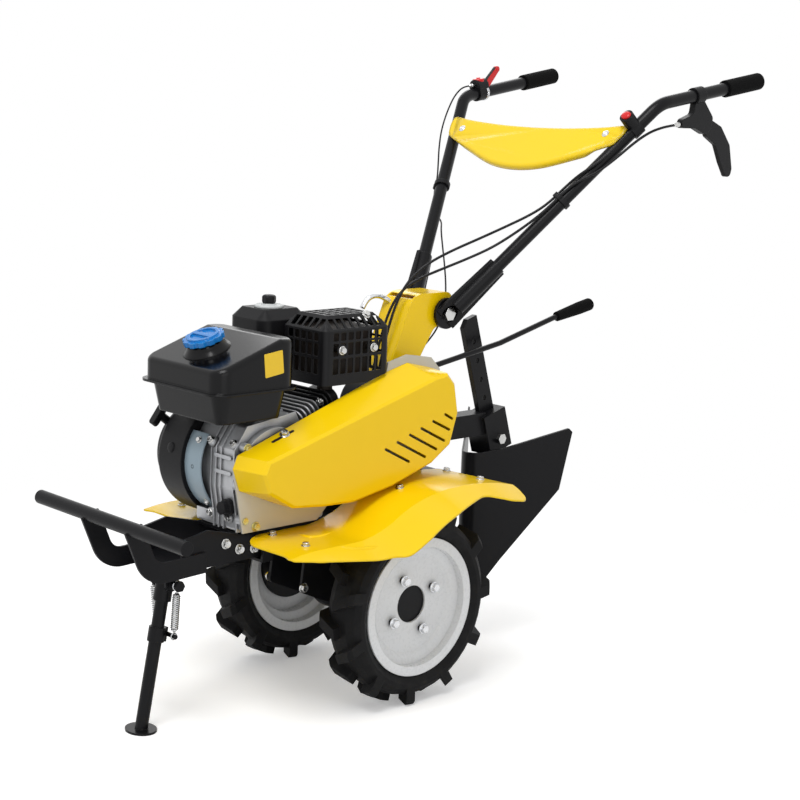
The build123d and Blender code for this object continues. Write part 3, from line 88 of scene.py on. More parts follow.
def makeFinish(name, color, rough, spread=0.08, grain=120.0, bump=0.1, depth=0.0004, metal=0.0,
               edge=None, edgeWidth=0.0015, dust=None, specular=0.2, creviceShade=0.0):
    # uneven colour and roughness, a fine bump, lighter edges that are partly wear and partly painted
    # highlight, dust, and painted shade in the hollows
    material, tree, shader = nodeTree(name)
    make, link = tree.nodes.new, tree.links.new
    shader.inputs["Metallic"].default_value = metal
    shader.inputs["Specular IOR Level"].default_value = specular
    place = make("ShaderNodeTexCoord")
    coarse = make("ShaderNodeTexNoise")
    coarse.inputs["Scale"].default_value = grain * wearAndLightPattern["coarse"]
    coarse.inputs["Detail"].default_value = wearAndLightPattern["coarseDetail"]
    fine = make("ShaderNodeTexNoise")
    fine.inputs["Scale"].default_value = grain
    fine.inputs["Detail"].default_value = wearAndLightPattern["fineDetail"]
    for texture in (coarse, fine):
        link(place.outputs["Object"], texture.inputs["Vector"])
    tone = make("ShaderNodeMapRange")
    tone.inputs["To Min"].default_value = 1.0 - spread
    tone.inputs["To Max"].default_value = 1.0 + spread
    link(coarse.outputs["Fac"], tone.inputs["Value"])
    shade = make("ShaderNodeMix")
    shade.data_type = "RGBA"
    shade.blend_type = "MULTIPLY"
    shade.inputs["Factor"].default_value = 1.0
    shade.inputs["A"].default_value = (*color, 1.0)
    link(tone.outputs["Result"], shade.inputs["B"])
    painted = shade.outputs["Result"]
    roundEdges = make("ShaderNodeBevel")
    roundEdges.samples = wearAndLightPattern["edgeSamples"]
    roundEdges.inputs["Radius"].default_value = edgeWidth
    # lighter colour along the edges, broken up by noise: partly wear, partly painted highlight
    if edge:
        surface = make("ShaderNodeNewGeometry")
        turn = make("ShaderNodeVectorMath")
        turn.operation = "DOT_PRODUCT"
        link(roundEdges.outputs["Normal"], turn.inputs[0])
        link(surface.outputs["Normal"], turn.inputs[1])
        wearAndHighlightMask = make("ShaderNodeMapRange")
        wearAndHighlightMask.inputs["From Min"].default_value = wearAndLightPattern["edgeFrom"]
        wearAndHighlightMask.inputs["From Max"].default_value = wearAndLightPattern["edgeTo"]
        wearAndHighlightMask.inputs["To Max"].default_value = wearAndLightPattern["edgeMost"]
        link(turn.outputs["Value"], wearAndHighlightMask.inputs["Value"])
        broken = make("ShaderNodeMath")
        broken.operation = "MULTIPLY"
        link(wearAndHighlightMask.outputs["Result"], broken.inputs[0])
        link(coarse.outputs["Fac"], broken.inputs[1])
        wearAndHighlight = make("ShaderNodeMix")
        wearAndHighlight.data_type = "RGBA"
        link(broken.outputs["Value"], wearAndHighlight.inputs["Factor"])
        link(painted, wearAndHighlight.inputs["A"])
        wearAndHighlight.inputs["B"].default_value = (*edge, 1.0)
        painted = wearAndHighlight.outputs["Result"]
    if dust:
        tint, amount = dust
        settled = make("ShaderNodeMapRange")
        settled.inputs["From Min"].default_value = wearAndLightPattern["dustFrom"]
        settled.inputs["From Max"].default_value = wearAndLightPattern["dustTo"]
        settled.inputs["To Max"].default_value = amount
        link(coarse.outputs["Fac"], settled.inputs["Value"])
        dusty = make("ShaderNodeMix")
        dusty.data_type = "RGBA"
        link(settled.outputs["Result"], dusty.inputs["Factor"])
        link(painted, dusty.inputs["A"])
        dusty.inputs["B"].default_value = (*tint, 1.0)
        painted = dusty.outputs["Result"]
    # painted shade: ambient occlusion darkens the colour in hollows and between parts
    if creviceShade:
        shelter = make("ShaderNodeAmbientOcclusion")
        shelter.samples = wearAndLightPattern["shelterSamples"]
        shelter.inputs["Distance"].default_value = wearAndLightPattern["shelterReach"]
        hollowShade = make("ShaderNodeMapRange")
        hollowShade.inputs["From Min"].default_value = wearAndLightPattern["shelterFrom"]
        hollowShade.inputs["From Max"].default_value = wearAndLightPattern["shelterTo"]
        hollowShade.inputs["To Min"].default_value = 1.0 - creviceShade
        link(shelter.outputs["AO"], hollowShade.inputs["Value"])
        darkened = make("ShaderNodeMix")
        darkened.data_type = "RGBA"
        darkened.blend_type = "MULTIPLY"
        darkened.inputs["Factor"].default_value = 1.0
        link(painted, darkened.inputs["A"])
        link(hollowShade.outputs["Result"], darkened.inputs["B"])
        painted = darkened.outputs["Result"]
    link(painted, shader.inputs["Base Color"])
    sheen = make("ShaderNodeMapRange")
    sheen.inputs["To Min"].default_value = rough * (1.0 - wearAndLightPattern["sheen"])
    sheen.inputs["To Max"].default_value = min(1.0, rough * (1.0 + wearAndLightPattern["sheen"]))
    link(fine.outputs["Fac"], sheen.inputs["Value"])
    link(sheen.outputs["Result"], shader.inputs["Roughness"])
    relief = make("ShaderNodeBump")
    relief.inputs["Strength"].default_value = bump
    relief.inputs["Distance"].default_value = depth
    link(fine.outputs["Fac"], relief.inputs["Height"])
    link(roundEdges.outputs["Normal"], relief.inputs["Normal"])
    link(relief.outputs["Normal"], shader.inputs["Normal"])
    return material


# Each finish's edge colour is partly wear and partly painted highlight; its crevice share darkens the hollows
# as painted shade
finishSettings = {
    "yellow_paint": {"color": (0.86, 0.57, 0.002), "rough": 0.2, "spread": 0.015, "grain": 260.0,
        "bump": 0.03, "edge": (0.95, 0.72, 0.04), "edgeWidth": 0.0025, "specular": 0.3},
    "panel_yellow": {"color": (0.86, 0.60, 0.01), "rough": 0.18, "spread": 0.015, "grain": 220.0,
        "bump": 0.03, "edgeWidth": 0.007, "specular": 0.35},
    "rim_white": {"color": (0.68, 0.69, 0.70), "rough": 0.28, "spread": 0.015, "grain": 160.0,
        "bump": 0.04, "edge": (0.76, 0.77, 0.78), "edgeWidth": 0.003, "dust": ((0.6, 0.59, 0.56), 0.03),
        "specular": 0.35, "creviceShade": 0.15},
    "black_frame": {"color": (0.006, 0.006, 0.007), "rough": 0.36, "spread": 0.1, "grain": 300.0,
        "bump": 0.2, "edge": (0.035, 0.035, 0.036), "specular": 0.14},
    "black_paint": {"color": (0.005, 0.005, 0.006), "rough": 0.3, "spread": 0.1, "grain": 300.0,
        "bump": 0.15, "edge": (0.03, 0.03, 0.031), "specular": 0.16},
    "black_gloss": {"color": (0.0025, 0.0025, 0.003), "rough": 0.16, "spread": 0.08, "grain": 200.0,
        "bump": 0.03, "edge": (0.012, 0.012, 0.013), "edgeWidth": 0.004, "specular": 0.22},
    "guard_black": {"color": (0.006, 0.006, 0.007), "rough": 0.34, "spread": 0.12, "grain": 420.0,
        "bump": 0.25, "edge": (0.04, 0.04, 0.04), "specular": 0.18},
    "black_plastic": {"color": (0.007, 0.007, 0.008), "rough": 0.42, "spread": 0.08, "grain": 900.0,
        "bump": 0.4, "edge": (0.022, 0.022, 0.022), "edgeWidth": 0.003, "specular": 0.16},
    "grip_rubber": {"color": (0.004, 0.004, 0.004), "rough": 0.85, "spread": 0.12, "grain": 1100.0,
        "bump": 0.8, "depth": 0.0006, "specular": 0.08},
    "tyre_rubber": {"color": (0.0055, 0.0055, 0.006), "rough": 0.62, "spread": 0.14, "grain": 420.0,
        "bump": 0.4, "depth": 0.0005, "edge": (0.016, 0.016, 0.016), "edgeWidth": 0.0025,
        "dust": ((0.022, 0.021, 0.019), 0.25), "specular": 0.14},
    "cable_sheath": {"color": (0.005, 0.005, 0.006), "rough": 0.34, "spread": 0.06, "grain": 900.0,
        "bump": 0.1},
    "cast_aluminium": {"color": (0.56, 0.57, 0.59), "rough": 0.38, "spread": 0.08, "grain": 620.0,
        "bump": 0.6, "depth": 0.0006, "metal": 0.55, "edge": (0.86, 0.86, 0.87),
        "dust": ((0.3, 0.29, 0.28), 0.2), "specular": 0.4, "creviceShade": 0.8},
    "fin_dark": {"color": (0.035, 0.036, 0.038), "rough": 0.4, "spread": 0.1, "grain": 520.0, "bump": 0.4,
        "metal": 0.3, "edge": (0.22, 0.22, 0.23), "edgeWidth": 0.0012, "creviceShade": 0.7},
    "plate_silver": {"color": (0.50, 0.48, 0.42), "rough": 0.34, "spread": 0.03, "grain": 380.0,
        "bump": 0.06, "metal": 0.25, "edge": (0.7, 0.68, 0.62), "specular": 0.35},
    "zinc_steel": {"color": (0.62, 0.62, 0.61), "rough": 0.22, "spread": 0.1, "grain": 500.0,
        "bump": 0.12, "metal": 1.0, "edge": (0.95, 0.94, 0.92), "edgeWidth": 0.0006, "specular": 0.5,
        "creviceShade": 0.5},
    "spring_steel": {"color": (0.6, 0.61, 0.62), "rough": 0.24, "spread": 0.08, "grain": 700.0,
        "bump": 0.15, "metal": 1.0, "specular": 0.5, "creviceShade": 0.6},
    "dark_steel": {"color": (0.02, 0.017, 0.015), "rough": 0.55, "spread": 0.3, "grain": 300.0,
        "bump": 0.5, "metal": 0.5, "dust": ((0.05, 0.03, 0.02), 0.35)},
    "shield_grey": {"color": (0.30, 0.39, 0.45), "rough": 0.3, "spread": 0.05, "grain": 300.0,
        "bump": 0.12, "edge": (0.55, 0.62, 0.66), "specular": 0.35, "creviceShade": 0.4},
    "light_grey": {"color": (0.55, 0.57, 0.57), "rough": 0.5, "spread": 0.06, "grain": 700.0, "bump": 0.3,
        "edge": (0.7, 0.71, 0.71)},
    "cap_blue": {"color": (0.004, 0.17, 0.52), "rough": 0.18, "spread": 0.04, "grain": 500.0, "bump": 0.1,
        "edge": (0.03, 0.36, 0.75), "edgeWidth": 0.0025, "specular": 0.4},
    "yellow_zinc": {"color": (0.62, 0.55, 0.22), "rough": 0.28, "spread": 0.15, "grain": 500.0,
        "bump": 0.15, "metal": 0.9, "edge": (0.85, 0.8, 0.45), "edgeWidth": 0.0006, "specular": 0.5,
        "creviceShade": 0.5},
    "lever_red": {"color": (0.6, 0.01, 0.012), "rough": 0.26, "spread": 0.05, "grain": 500.0,
        "bump": 0.08, "edge": (0.75, 0.06, 0.06), "specular": 0.4},
    "label_yellow": {"color": (0.78, 0.52, 0.03), "rough": 0.32, "spread": 0.03, "grain": 900.0,
        "bump": 0.05, "edge": (0.82, 0.6, 0.12), "edgeWidth": 0.0004, "specular": 0.3},
    "chrome": {"color": (0.75, 0.76, 0.78), "rough": 0.1, "spread": 0.04, "grain": 500.0, "bump": 0.04,
        "metal": 1.0, "specular": 0.5, "creviceShade": 0.4},
}
finishes = {}
for slotName, settings in finishSettings.items():
    first, *rest = slotName.split("_")
    finishes[slotName] = makeFinish(first + "".join(word.capitalize() for word in rest), **settings)
# The wheel axle takes the black frame's finish so that the hub's recess reads as a dark hole: painted shade
ownFinish = {"handle_panel": "panel_yellow", "cylinder_head": "fin_dark", "wheel_axle": "black_frame"}
for nodeName, node in nodes.items():
    for index, held in enumerate(node.data.materials):
        plain = ownFinish.get(nodeName, held.name.split(".")[0])
        if plain in finishes:
            node.data.materials[index] = finishes[plain]
        else:
            print("no finish for", nodeName, held.name)
print("materials set")


# Shared helpers for the pieces
def addMesh(name, verts, faces, finishName, body=None, smooth=False):
    data = bpy.data.meshes.new(name)
    data.from_pydata([tuple(v) for v in verts], [], faces)
    data.validate()
    data.materials.append(finishes[finishName])
    data.polygons.foreach_set("use_smooth", [smooth] * len(data.polygons))
    piece = bpy.data.objects.new(name, data)
    scene.collection.objects.link(piece)
    if body:
        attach(piece, body)
    return piece


def turnRings(verts, faces, rings, cap=True):
    # joins rings of equal count into a skin, and closes both ends
    count = len(rings[0])
    start = len(verts)
    for ring in rings:
        verts.extend(ring)
    for step in range(len(rings) - 1):
        low, high = start + step * count, start + (step + 1) * count
        for k in range(count):
            n = (k + 1) % count
            faces.append((low + k, low + n, high + n, high + k))
    if cap:
        faces.append(tuple(range(start + count - 1, start - 1, -1)))
        faces.append(tuple(range(len(verts) - count, len(verts))))


def sideways(axis):
    axis = Vector(axis).normalized()
    across = axis.cross(Vector((0, 0, 1)) if abs(axis.z) < 0.9 else Vector((1, 0, 0))).normalized()
    return axis, across, axis.cross(across)


def spun(verts, faces, place, axis, profile, sides=24, turn=0.0):
    # profile pairs are (radius, height) along the axis from the place
    axis, across, upward = sideways(axis)
    place = Vector(place)
    rings = []
    for radius, height in profile:
        rings.append([place + axis * height + (across * math.cos(a) + upward * math.sin(a)) * radius
                      for a in (turn + 2 * math.pi * k / sides for k in range(sides))])
    turnRings(verts, faces, rings)


# Shares of a bolt's size over the corners of its hexagon
boltForm = {
    "flange": ((1.3, 0.09), (1.2, 0.12)), "sink": -0.0004, "lift": 0.1, "head": 0.42, "flat": 0.866,
    "chamfer": 0.82, "crown": 0.86, "dish": 0.45, "dishTop": 0.93,
}


def hexBolt(verts, faces, place, axis, size, turn=0.0):
    # a hexagon head with a chamfered, slightly dished top on a thin flange
    half = size / 2
    (wide, low), (narrow, high) = boltForm["flange"]
    spun(verts, faces, place, axis, [(half * wide, boltForm["sink"]), (half * wide, size * low),
                                     (half * narrow, size * high)])
    lift, head = size * boltForm["lift"], size * boltForm["head"]
    axis, across, upward = sideways(axis)
    base = Vector(place)
    rings = []
    steps = ((1.0, lift), (1.0, lift + head * boltForm["chamfer"]), (boltForm["crown"], lift + head))
    for scale, height in steps:
        ring = []
        for k in range(12):
            a = turn + 2 * math.pi * k / 12
            reach = boltForm["flat"] if k % 2 and scale == 1.0 else 1.0
            way = across * math.cos(a) + upward * math.sin(a)
            ring.append(base + axis * height + way * half * reach * scale)
        rings.append(ring)
    dishTop = base + axis * (lift + head * boltForm["dishTop"])
    rings.append([dishTop + (v - base - axis * (lift + head)) * boltForm["dish"] for v in rings[-1]])
    turnRings(verts, faces, rings)


def seat(nodeName, start, way):
    # where a line from start along way first meets the node, with the surface's direction there
    node = nodes[nodeName]
    inverse = node.matrix_world.inverted()
    origin = inverse @ Vector(start)
    ray = (inverse.to_3x3() @ Vector(way)).normalized()
    hit, spot, normal, _ = node.ray_cast(origin, ray)
    if not hit:
        print("no seat on", nodeName, start)
        return Vector(start), -Vector(way).normalized()
    turned = (node.matrix_world.to_3x3() @ normal).normalized()
    return node.matrix_world @ spot, turned


boltTurn = 0.2


def boltSet(name, settings, body):
    # one mesh of hex bolts, each seated on the node behind it
    verts, faces = [], []
    for nodeName, start, way in settings["spots"]:
        spot, normal = seat(nodeName, start, way)
        hexBolt(verts, faces, spot, normal, settings["size"], boltTurn)
    addMesh(name, verts, faces, settings["finish"], body)


def tubeRings(line, radius, sides):
    # rings square to a line of points, with no twist between them
    rings = []
    tangent = (line[1] - line[0]).normalized()
    _, across, _ = sideways(tangent)
    for k, point in enumerate(line):
        ahead = line[min(k + 1, len(line) - 1)] - line[max(k - 1, 0)]
        tangent = ahead.normalized()
        across = (across - tangent * across.dot(tangent)).normalized()
        upward = tangent.cross(across)
        size = radius[k] if isinstance(radius, list) else radius
        rings.append([point + (across * math.cos(a) + upward * math.sin(a)) * size
                      for a in (2 * math.pi * s / sides for s in range(sides))])
    return rings


def splineLine(points, steps=8):
    # points along one smooth line, read from its spline
    data = bpy.data.curves.new("route", "CURVE")
    data.dimensions = "3D"
    data.resolution_u = steps
    spline = data.splines.new("NURBS")
    spline.points.add(len(points) - 1)
    for spot, point in zip(spline.points, points):
        spot.co = (*point, 1.0)
    spline.order_u = 3
    spline.use_endpoint_u = True
    holder = bpy.data.objects.new("route", data)
    scene.collection.objects.link(holder)
    line = bpy.data.meshes.new_from_object(holder)
    found = [vertex.co.copy() for vertex in line.vertices]
    bpy.data.objects.remove(holder)
    bpy.data.meshes.remove(line)
    bpy.data.curves.remove(data)
    return found


# Control cables and the stop switch's wire, with the routes of the CAD solids
cableRuns = {
    "throttleCable": {
        "node": "throttle_cable", "radius": 0.0017, "length": 0.817, "stiffness": "medium",
        "points": (
            (-0.266, 0.428, 1.130), (-0.266, 0.398, 1.130), (-0.264, 0.368, 1.110), (-0.261, 0.344, 1.076),
            (-0.255, 0.322, 1.036), (-0.238, 0.300, 0.998), (-0.216, 0.278, 0.966), (-0.194, 0.255, 0.937),
            (-0.178, 0.230, 0.906), (-0.162, 0.223, 0.866), (-0.138, 0.217, 0.855), (-0.112, 0.190, 0.840),
            (-0.080, 0.164, 0.812), (-0.044, 0.136, 0.778), (-0.012, 0.110, 0.742), (0.000, 0.098, 0.704),
            (0.000, 0.082, 0.662), (0.000, 0.042, 0.626), (0.000, 0.006, 0.604), (0.000, -0.028, 0.590),
        ),
    },
    "clutchCable": {
        "node": "clutch_cable", "radius": 0.0026, "length": 0.830, "stiffness": "stiff",
        "points": (
            (0.270, 0.453, 1.069), (0.270, 0.426, 1.066), (0.269, 0.400, 1.062), (0.262, 0.373, 1.053),
            (0.250, 0.344, 1.033), (0.231, 0.313, 1.001), (0.215, 0.282, 0.975), (0.196, 0.256, 0.960),
            (0.177, 0.238, 0.941), (0.160, 0.210, 0.907), (0.142, 0.186, 0.880), (0.116, 0.156, 0.850),
            (0.092, 0.124, 0.824), (0.066, 0.084, 0.802), (0.042, 0.040, 0.782), (0.022, 0.000, 0.764),
            (0.009, -0.034, 0.740), (0.004, -0.056, 0.704), (0.004, -0.073, 0.662), (0.004, -0.086, 0.620),
            (0.004, -0.095, 0.584),
        ),
    },
    "switchWire": {
        "node": "switch_wire", "radius": 0.0026, "length": 0.717, "stiffness": "medium",
        "points": (
            (0.247, 0.335, 1.056), (0.236, 0.318, 1.034), (0.222, 0.297, 1.006), (0.205, 0.276, 0.985),
            (0.187, 0.258, 0.967), (0.168, 0.242, 0.943), (0.150, 0.214, 0.910), (0.128, 0.190, 0.888),
            (0.104, 0.148, 0.865), (0.082, 0.100, 0.842), (0.060, 0.052, 0.820), (0.042, 0.006, 0.796),
            (0.028, -0.028, 0.766), (0.021, -0.052, 0.726), (0.020, -0.070, 0.680), (0.020, -0.084, 0.632),
            (0.021, -0.096, 0.586),
        ),
    },
}
cableSides = 12
for name, run in cableRuns.items():
    line = splineLine(run["points"])
    verts, faces = [], []
    turnRings(verts, faces, tubeRings(line, run["radius"], cableSides))
    cable = addMesh(name, verts, faces, "cable_sheath", smooth=True)
    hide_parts(run["node"])
    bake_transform(cable)
print("cables laid")

# Ferrules where the cables leave their levers
ferrules = {
    "radius": 0.0046, "neck": 0.75, "length": 0.016, "gap": 0.001, "mouth": 1.1, "sides": 18,
    "shares": (0.5, 0.55, 0.9), "of": {"throttleFerrule": "throttleCable", "clutchFerrule": "clutchCable"},
}
for name, cableName in ferrules["of"].items():
    points = cableRuns[cableName]["points"]
    start = Vector(points[0])
    way = (Vector(points[1]) - start).normalized()
    wide, narrow, size = ferrules["radius"], ferrules["radius"] * ferrules["neck"], ferrules["length"]
    shoulder, neckStart, neckEnd = (size * share for share in ferrules["shares"])
    verts, faces = [], []
    spun(verts, faces, start + way * ferrules["gap"], way,
         [(wide, 0.0), (wide, shoulder), (narrow, neckStart), (narrow, neckEnd),
          (cableRuns[cableName]["radius"] * ferrules["mouth"], size)], ferrules["sides"])
    addMesh(name, verts, faces, "zinc_steel", "handlebar")
print("ferrules set")

# Coil springs of the prop stand, each with a hook ring at both ends
standSprings = {
    "coil": 0.0058, "wire": 0.0013, "turns": 19, "sides": 8, "perTurn": 20,
    "closeEnd": 0.35, "closeRise": 10.0,
    "top": (0.036, -0.567, 0.262), "topGap": 0.014, "topRing": 0.0085,
    "foot": (0.024, -0.56412, 0.16692), "footGap": 0.010, "footRing": 0.0058,
    "ringSteps": 24, "shankSteps": 3, "overlap": 0.002,
}
ringSteps, shankSteps = standSprings["ringSteps"], standSprings["shankSteps"]
verts, faces = [], []
for hand in (1, -1):
    top = Vector((standSprings["top"][0] * hand, *standSprings["top"][1:]))
    foot = Vector((standSprings["foot"][0] * hand, *standSprings["foot"][1:]))
    way, across, upward = sideways(foot - top)
    length = (foot - top).length - standSprings["topGap"] - standSprings["footGap"]
    count = standSprings["turns"] * standSprings["perTurn"]
    line = []
    for k in range(count + 1):
        share = k / count
        angle = 2 * math.pi * standSprings["turns"] * share
        size = standSprings["coil"] * min(1.0, standSprings["closeEnd"]
                                          + standSprings["closeRise"] * min(share, 1 - share))
        line.append(top + way * (standSprings["topGap"] + length * share)
                    + (across * math.cos(angle) + upward * math.sin(angle)) * size)
    turnRings(verts, faces, tubeRings(line, standSprings["wire"], standSprings["sides"]))
    side = Vector((1, 0, 0))
    for end, hole, inward, gap in ((top, standSprings["topRing"], way, standSprings["topGap"]),
                                   (foot, standSprings["footRing"], -way, standSprings["footGap"])):
        first = (inward - side * inward.dot(side)).normalized()
        second = side.cross(first)
        ring = []
        for k in range(ringSteps + 1):
            angle = 2 * math.pi * k / ringSteps
            ring.append(end + (first * math.cos(angle) + second * math.sin(angle)) * hole)
        stretch = gap + standSprings["overlap"] - hole
        shank = [end + inward * (hole + stretch * k / shankSteps) for k in range(shankSteps + 1)]
        for wire in (ring, shank):
            turnRings(verts, faces, tubeRings(wire, standSprings["wire"], standSprings["sides"]))
springPiece = addMesh("standSprings", verts, faces, "spring_steel", "stand", smooth=True)
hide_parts("stand_springs")
print("springs wound")

# Knob that holds the air cleaner's lid, on its grey washer
cleanerKnob = {
    "place": (-0.090, -0.273, 0.7143), "washerSides": 64, "knobSides": 96,
    "washer": ((0.027, 0.0), (0.027, 0.003), (0.0255, 0.0048), (0.0235, 0.0052), (0.0225, 0.0040),
               (0.0150, 0.0040), (0.0142, 0.0062), (0.0115, 0.0068)),
    "knob": ((0.0108, 0.0066), (0.0118, 0.0085), (0.0125, 0.0105), (0.0125, 0.0190), (0.0112, 0.0215),
             (0.0085, 0.0228)),
    "lobes": 6, "lobeDepth": 0.05, "smoothAbove": 0.02, "smoothed": 0.4,
}
verts, faces = [], []
spun(verts, faces, cleanerKnob["place"], (0, 0, 1), cleanerKnob["washer"], cleanerKnob["washerSides"])
addMesh("cleanerWasher", verts, faces, "light_grey", "chassis")
verts, faces, rings = [], [], []
x, y, z = cleanerKnob["place"]
for radius, height in cleanerKnob["knob"]:
    depth = cleanerKnob["lobeDepth"] * (1 if height < cleanerKnob["smoothAbove"] else cleanerKnob["smoothed"])
    ring = []
    for k in range(cleanerKnob["knobSides"]):
        angle = 2 * math.pi * k / cleanerKnob["knobSides"]
        reach = radius * (1.0 + depth * math.cos(cleanerKnob["lobes"] * angle))
        ring.append((x + reach * math.cos(angle), y + reach * math.sin(angle), z + height))
    rings.append(ring)
turnRings(verts, faces, rings)
knobPiece = addMesh("cleanerKnob", verts, faces, "black_plastic", "chassis")
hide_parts("air_cleaner_knob")
print("air cleaner knob made")

# Raised collar around the fuel tank's neck
neckCollar = {
    "place": (-0.010, -0.475, 0.6610), "way": (0, -0.3256, 0.9455), "sides": 72,
    "profile": ((0.0445, -0.0015), (0.0420, 0.0022), (0.0375, 0.0065), (0.0340, 0.0120), (0.0325, 0.0168),
                (0.0308, 0.0172)),
}
verts, faces = [], []
spun(verts, faces, neckCollar["place"], neckCollar["way"], neckCollar["profile"], neckCollar["sides"])
addMesh("neckCollar", verts, faces, "black_gloss", "chassis", smooth=True)
print("neck collar made")

# Bolts of the fenders, the muffler's guard and the cylinder head
fenderBolts = {"size": 0.0125, "finish": "zinc_steel", "spots": [
    (f"fender_{side}", (hand * x, axleY + y, 0.6), (0, 0, -1))
    for side, hand in (("left", 1), ("right", -1))
    for x, y in ((0.089, -0.260), (0.179, -0.260), (0.089, 0.170), (0.179, 0.170), (0.1345, 0.003))]}
boltSet("fenderBolts", fenderBolts, "chassis")

guardBolts = {"size": 0.0125, "finish": "zinc_steel", "spots": [
    *(("muffler_guard", (0.2, axleY + y, z), (-1, 0, 0)) for y, z in ((-0.109, 0.655), (-0.033, 0.655))),
    ("muffler_guard", (0.1054, -0.1752, 0.7468), (-0.72, 0, -0.69))]}
boltSet("guardBolts", guardBolts, "chassis")

headBolts = {"size": 0.0125, "finish": "zinc_steel", "spots": [
    ("cylinder_head", (0.0559, -0.2856, 0.5507), (0, 0.91, 0.42))]}
boltSet("headBolts", headBolts, "chassis")

# Cast bosses with their bolts on the crankcase's front
ahead = -0.7
crankBosses = {
    "radius": 0.0085, "tall": 0.0050, "root": -0.003, "sides": 28, "bolt": 0.0115, "turn": 0.3,
    "shares": ((1.05, 0.3), (1.0, 0.7), (0.94, 1.0)), "rootShare": 1.25,
    "spots": ((0.052, 0.500), (-0.005, 0.498), (0.040, 0.368), (-0.012, 0.368)),
}
wide, tall = crankBosses["radius"], crankBosses["tall"]
profile = [(wide * crankBosses["rootShare"], crankBosses["root"]),
           *((wide * across, tall * up) for across, up in crankBosses["shares"])]
verts, faces = [], []
boltVerts, boltFaces = [], []
for x, z in crankBosses["spots"]:
    spot, normal = seat("crankcase", (x, ahead, z), (0, 1, 0))
    spun(verts, faces, spot, normal, profile, crankBosses["sides"])
    hexBolt(boltVerts, boltFaces, spot + normal * tall, normal, crankBosses["bolt"], crankBosses["turn"])
addMesh("crankBosses", verts, faces, "cast_aluminium", "chassis", smooth=True)
addMesh("crankBolts", boltVerts, boltFaces, "zinc_steel", "chassis")

# Screws of the side shield, a dark disc painted as the shade inside its sensing hole, and the shroud's raised
# button
shieldScrews = {"size": 0.0095, "finish": "zinc_steel", "spots": [
    ("side_shield", (x, ahead, z), (0, 1, 0)) for x, z in ((-0.030, 0.497), (-0.022, 0.385))]}
boltSet("shieldScrews", shieldScrews, "chassis")
shieldTrim = {
    "shieldHole": {
        "node": "side_shield", "spot": (-0.0348, ahead, 0.4495), "sides": 24,
        "finish": "dark_steel", "smooth": False,
        "profile": ((0.0036, -0.0012), (0.0036, 0.0002), (0.00288, 0.00025), (0.00216, -0.0003))},
    "shroudButton": {
        "node": "fan_shroud", "spot": (-0.0915, ahead, 0.4751), "sides": 36,
        "finish": "black_plastic", "smooth": True,
        "profile": ((0.0100, -0.0012), (0.0096, 0.0008), (0.0080, 0.0018), (0.0050, 0.0022))},
}
for name, trim in shieldTrim.items():
    verts, faces = [], []
    spot, normal = seat(trim["node"], trim["spot"], (0, 1, 0))
    spun(verts, faces, spot, normal, trim["profile"], trim["sides"])
    addMesh(name, verts, faces, trim["finish"], "chassis", smooth=trim["smooth"])

# Bolts of the engine's cover, the gear case and the frame
coverBolts = {"size": 0.0135, "finish": "yellow_zinc", "spots": [
    ("back_plate", (0.3, -0.4322, 0.3564), (-1, 0, 0)),
    *(("crankcase_cover", (0.3, y, z), (-1, 0, 0))
      for y, z in ((-0.463, 0.431), (-0.449, 0.497), (-0.455, 0.369)))]}
boltSet("coverBolts", coverBolts, "chassis")

caseBolts = {"size": 0.0145, "finish": "zinc_steel", "spots": [
    ("gear_case", (hand * 0.2, y, z), (-hand, 0, 0)) for hand in (1, -1)
    for y, z in ((-0.2908, 0.2116), (-0.209, 0.175))]}
boltSet("caseBolts", caseBolts, "chassis")

frameBolts = {"size": 0.0145, "finish": "zinc_steel", "spots": [
    ("chassis_beam", (hand * 0.3, y, z), (-hand, 0, 0)) for hand in (1, -1)
    for y, z in ((-0.4832, 0.3292), (-0.4529, 0.3149), (-0.4199, 0.3117))]}
boltSet("frameBolts", frameBolts, "chassis")

# Round screws that hold the panel to the arms
panelScrews = {
    "radius": 0.0062, "sides": 32, "spots": ((0.1911, 0.3264, 1.0469), (-0.1925, 0.3217, 1.0413)),
    "off": (0, -0.077, 0.064), "way": (0, 0.77, -0.64),
    "shares": ((1.25, -0.0003), (1.25, 0.0008), (1.0, 0.001), (0.95, 0.0022), (0.7, 0.0034), (0.42, 0.0038),
               (0.3, 0.0022)),
}
profile = [(panelScrews["radius"] * share, height) for share, height in panelScrews["shares"]]
verts, faces = [], []
for spot in panelScrews["spots"]:
    spot, normal = seat("handle_panel", Vector(spot) + Vector(panelScrews["off"]), panelScrews["way"])
    spun(verts, faces, spot, normal, profile, panelScrews["sides"])
addMesh("panelScrews", verts, faces, "chrome", "handlebar", smooth=True)
print("bolts set")

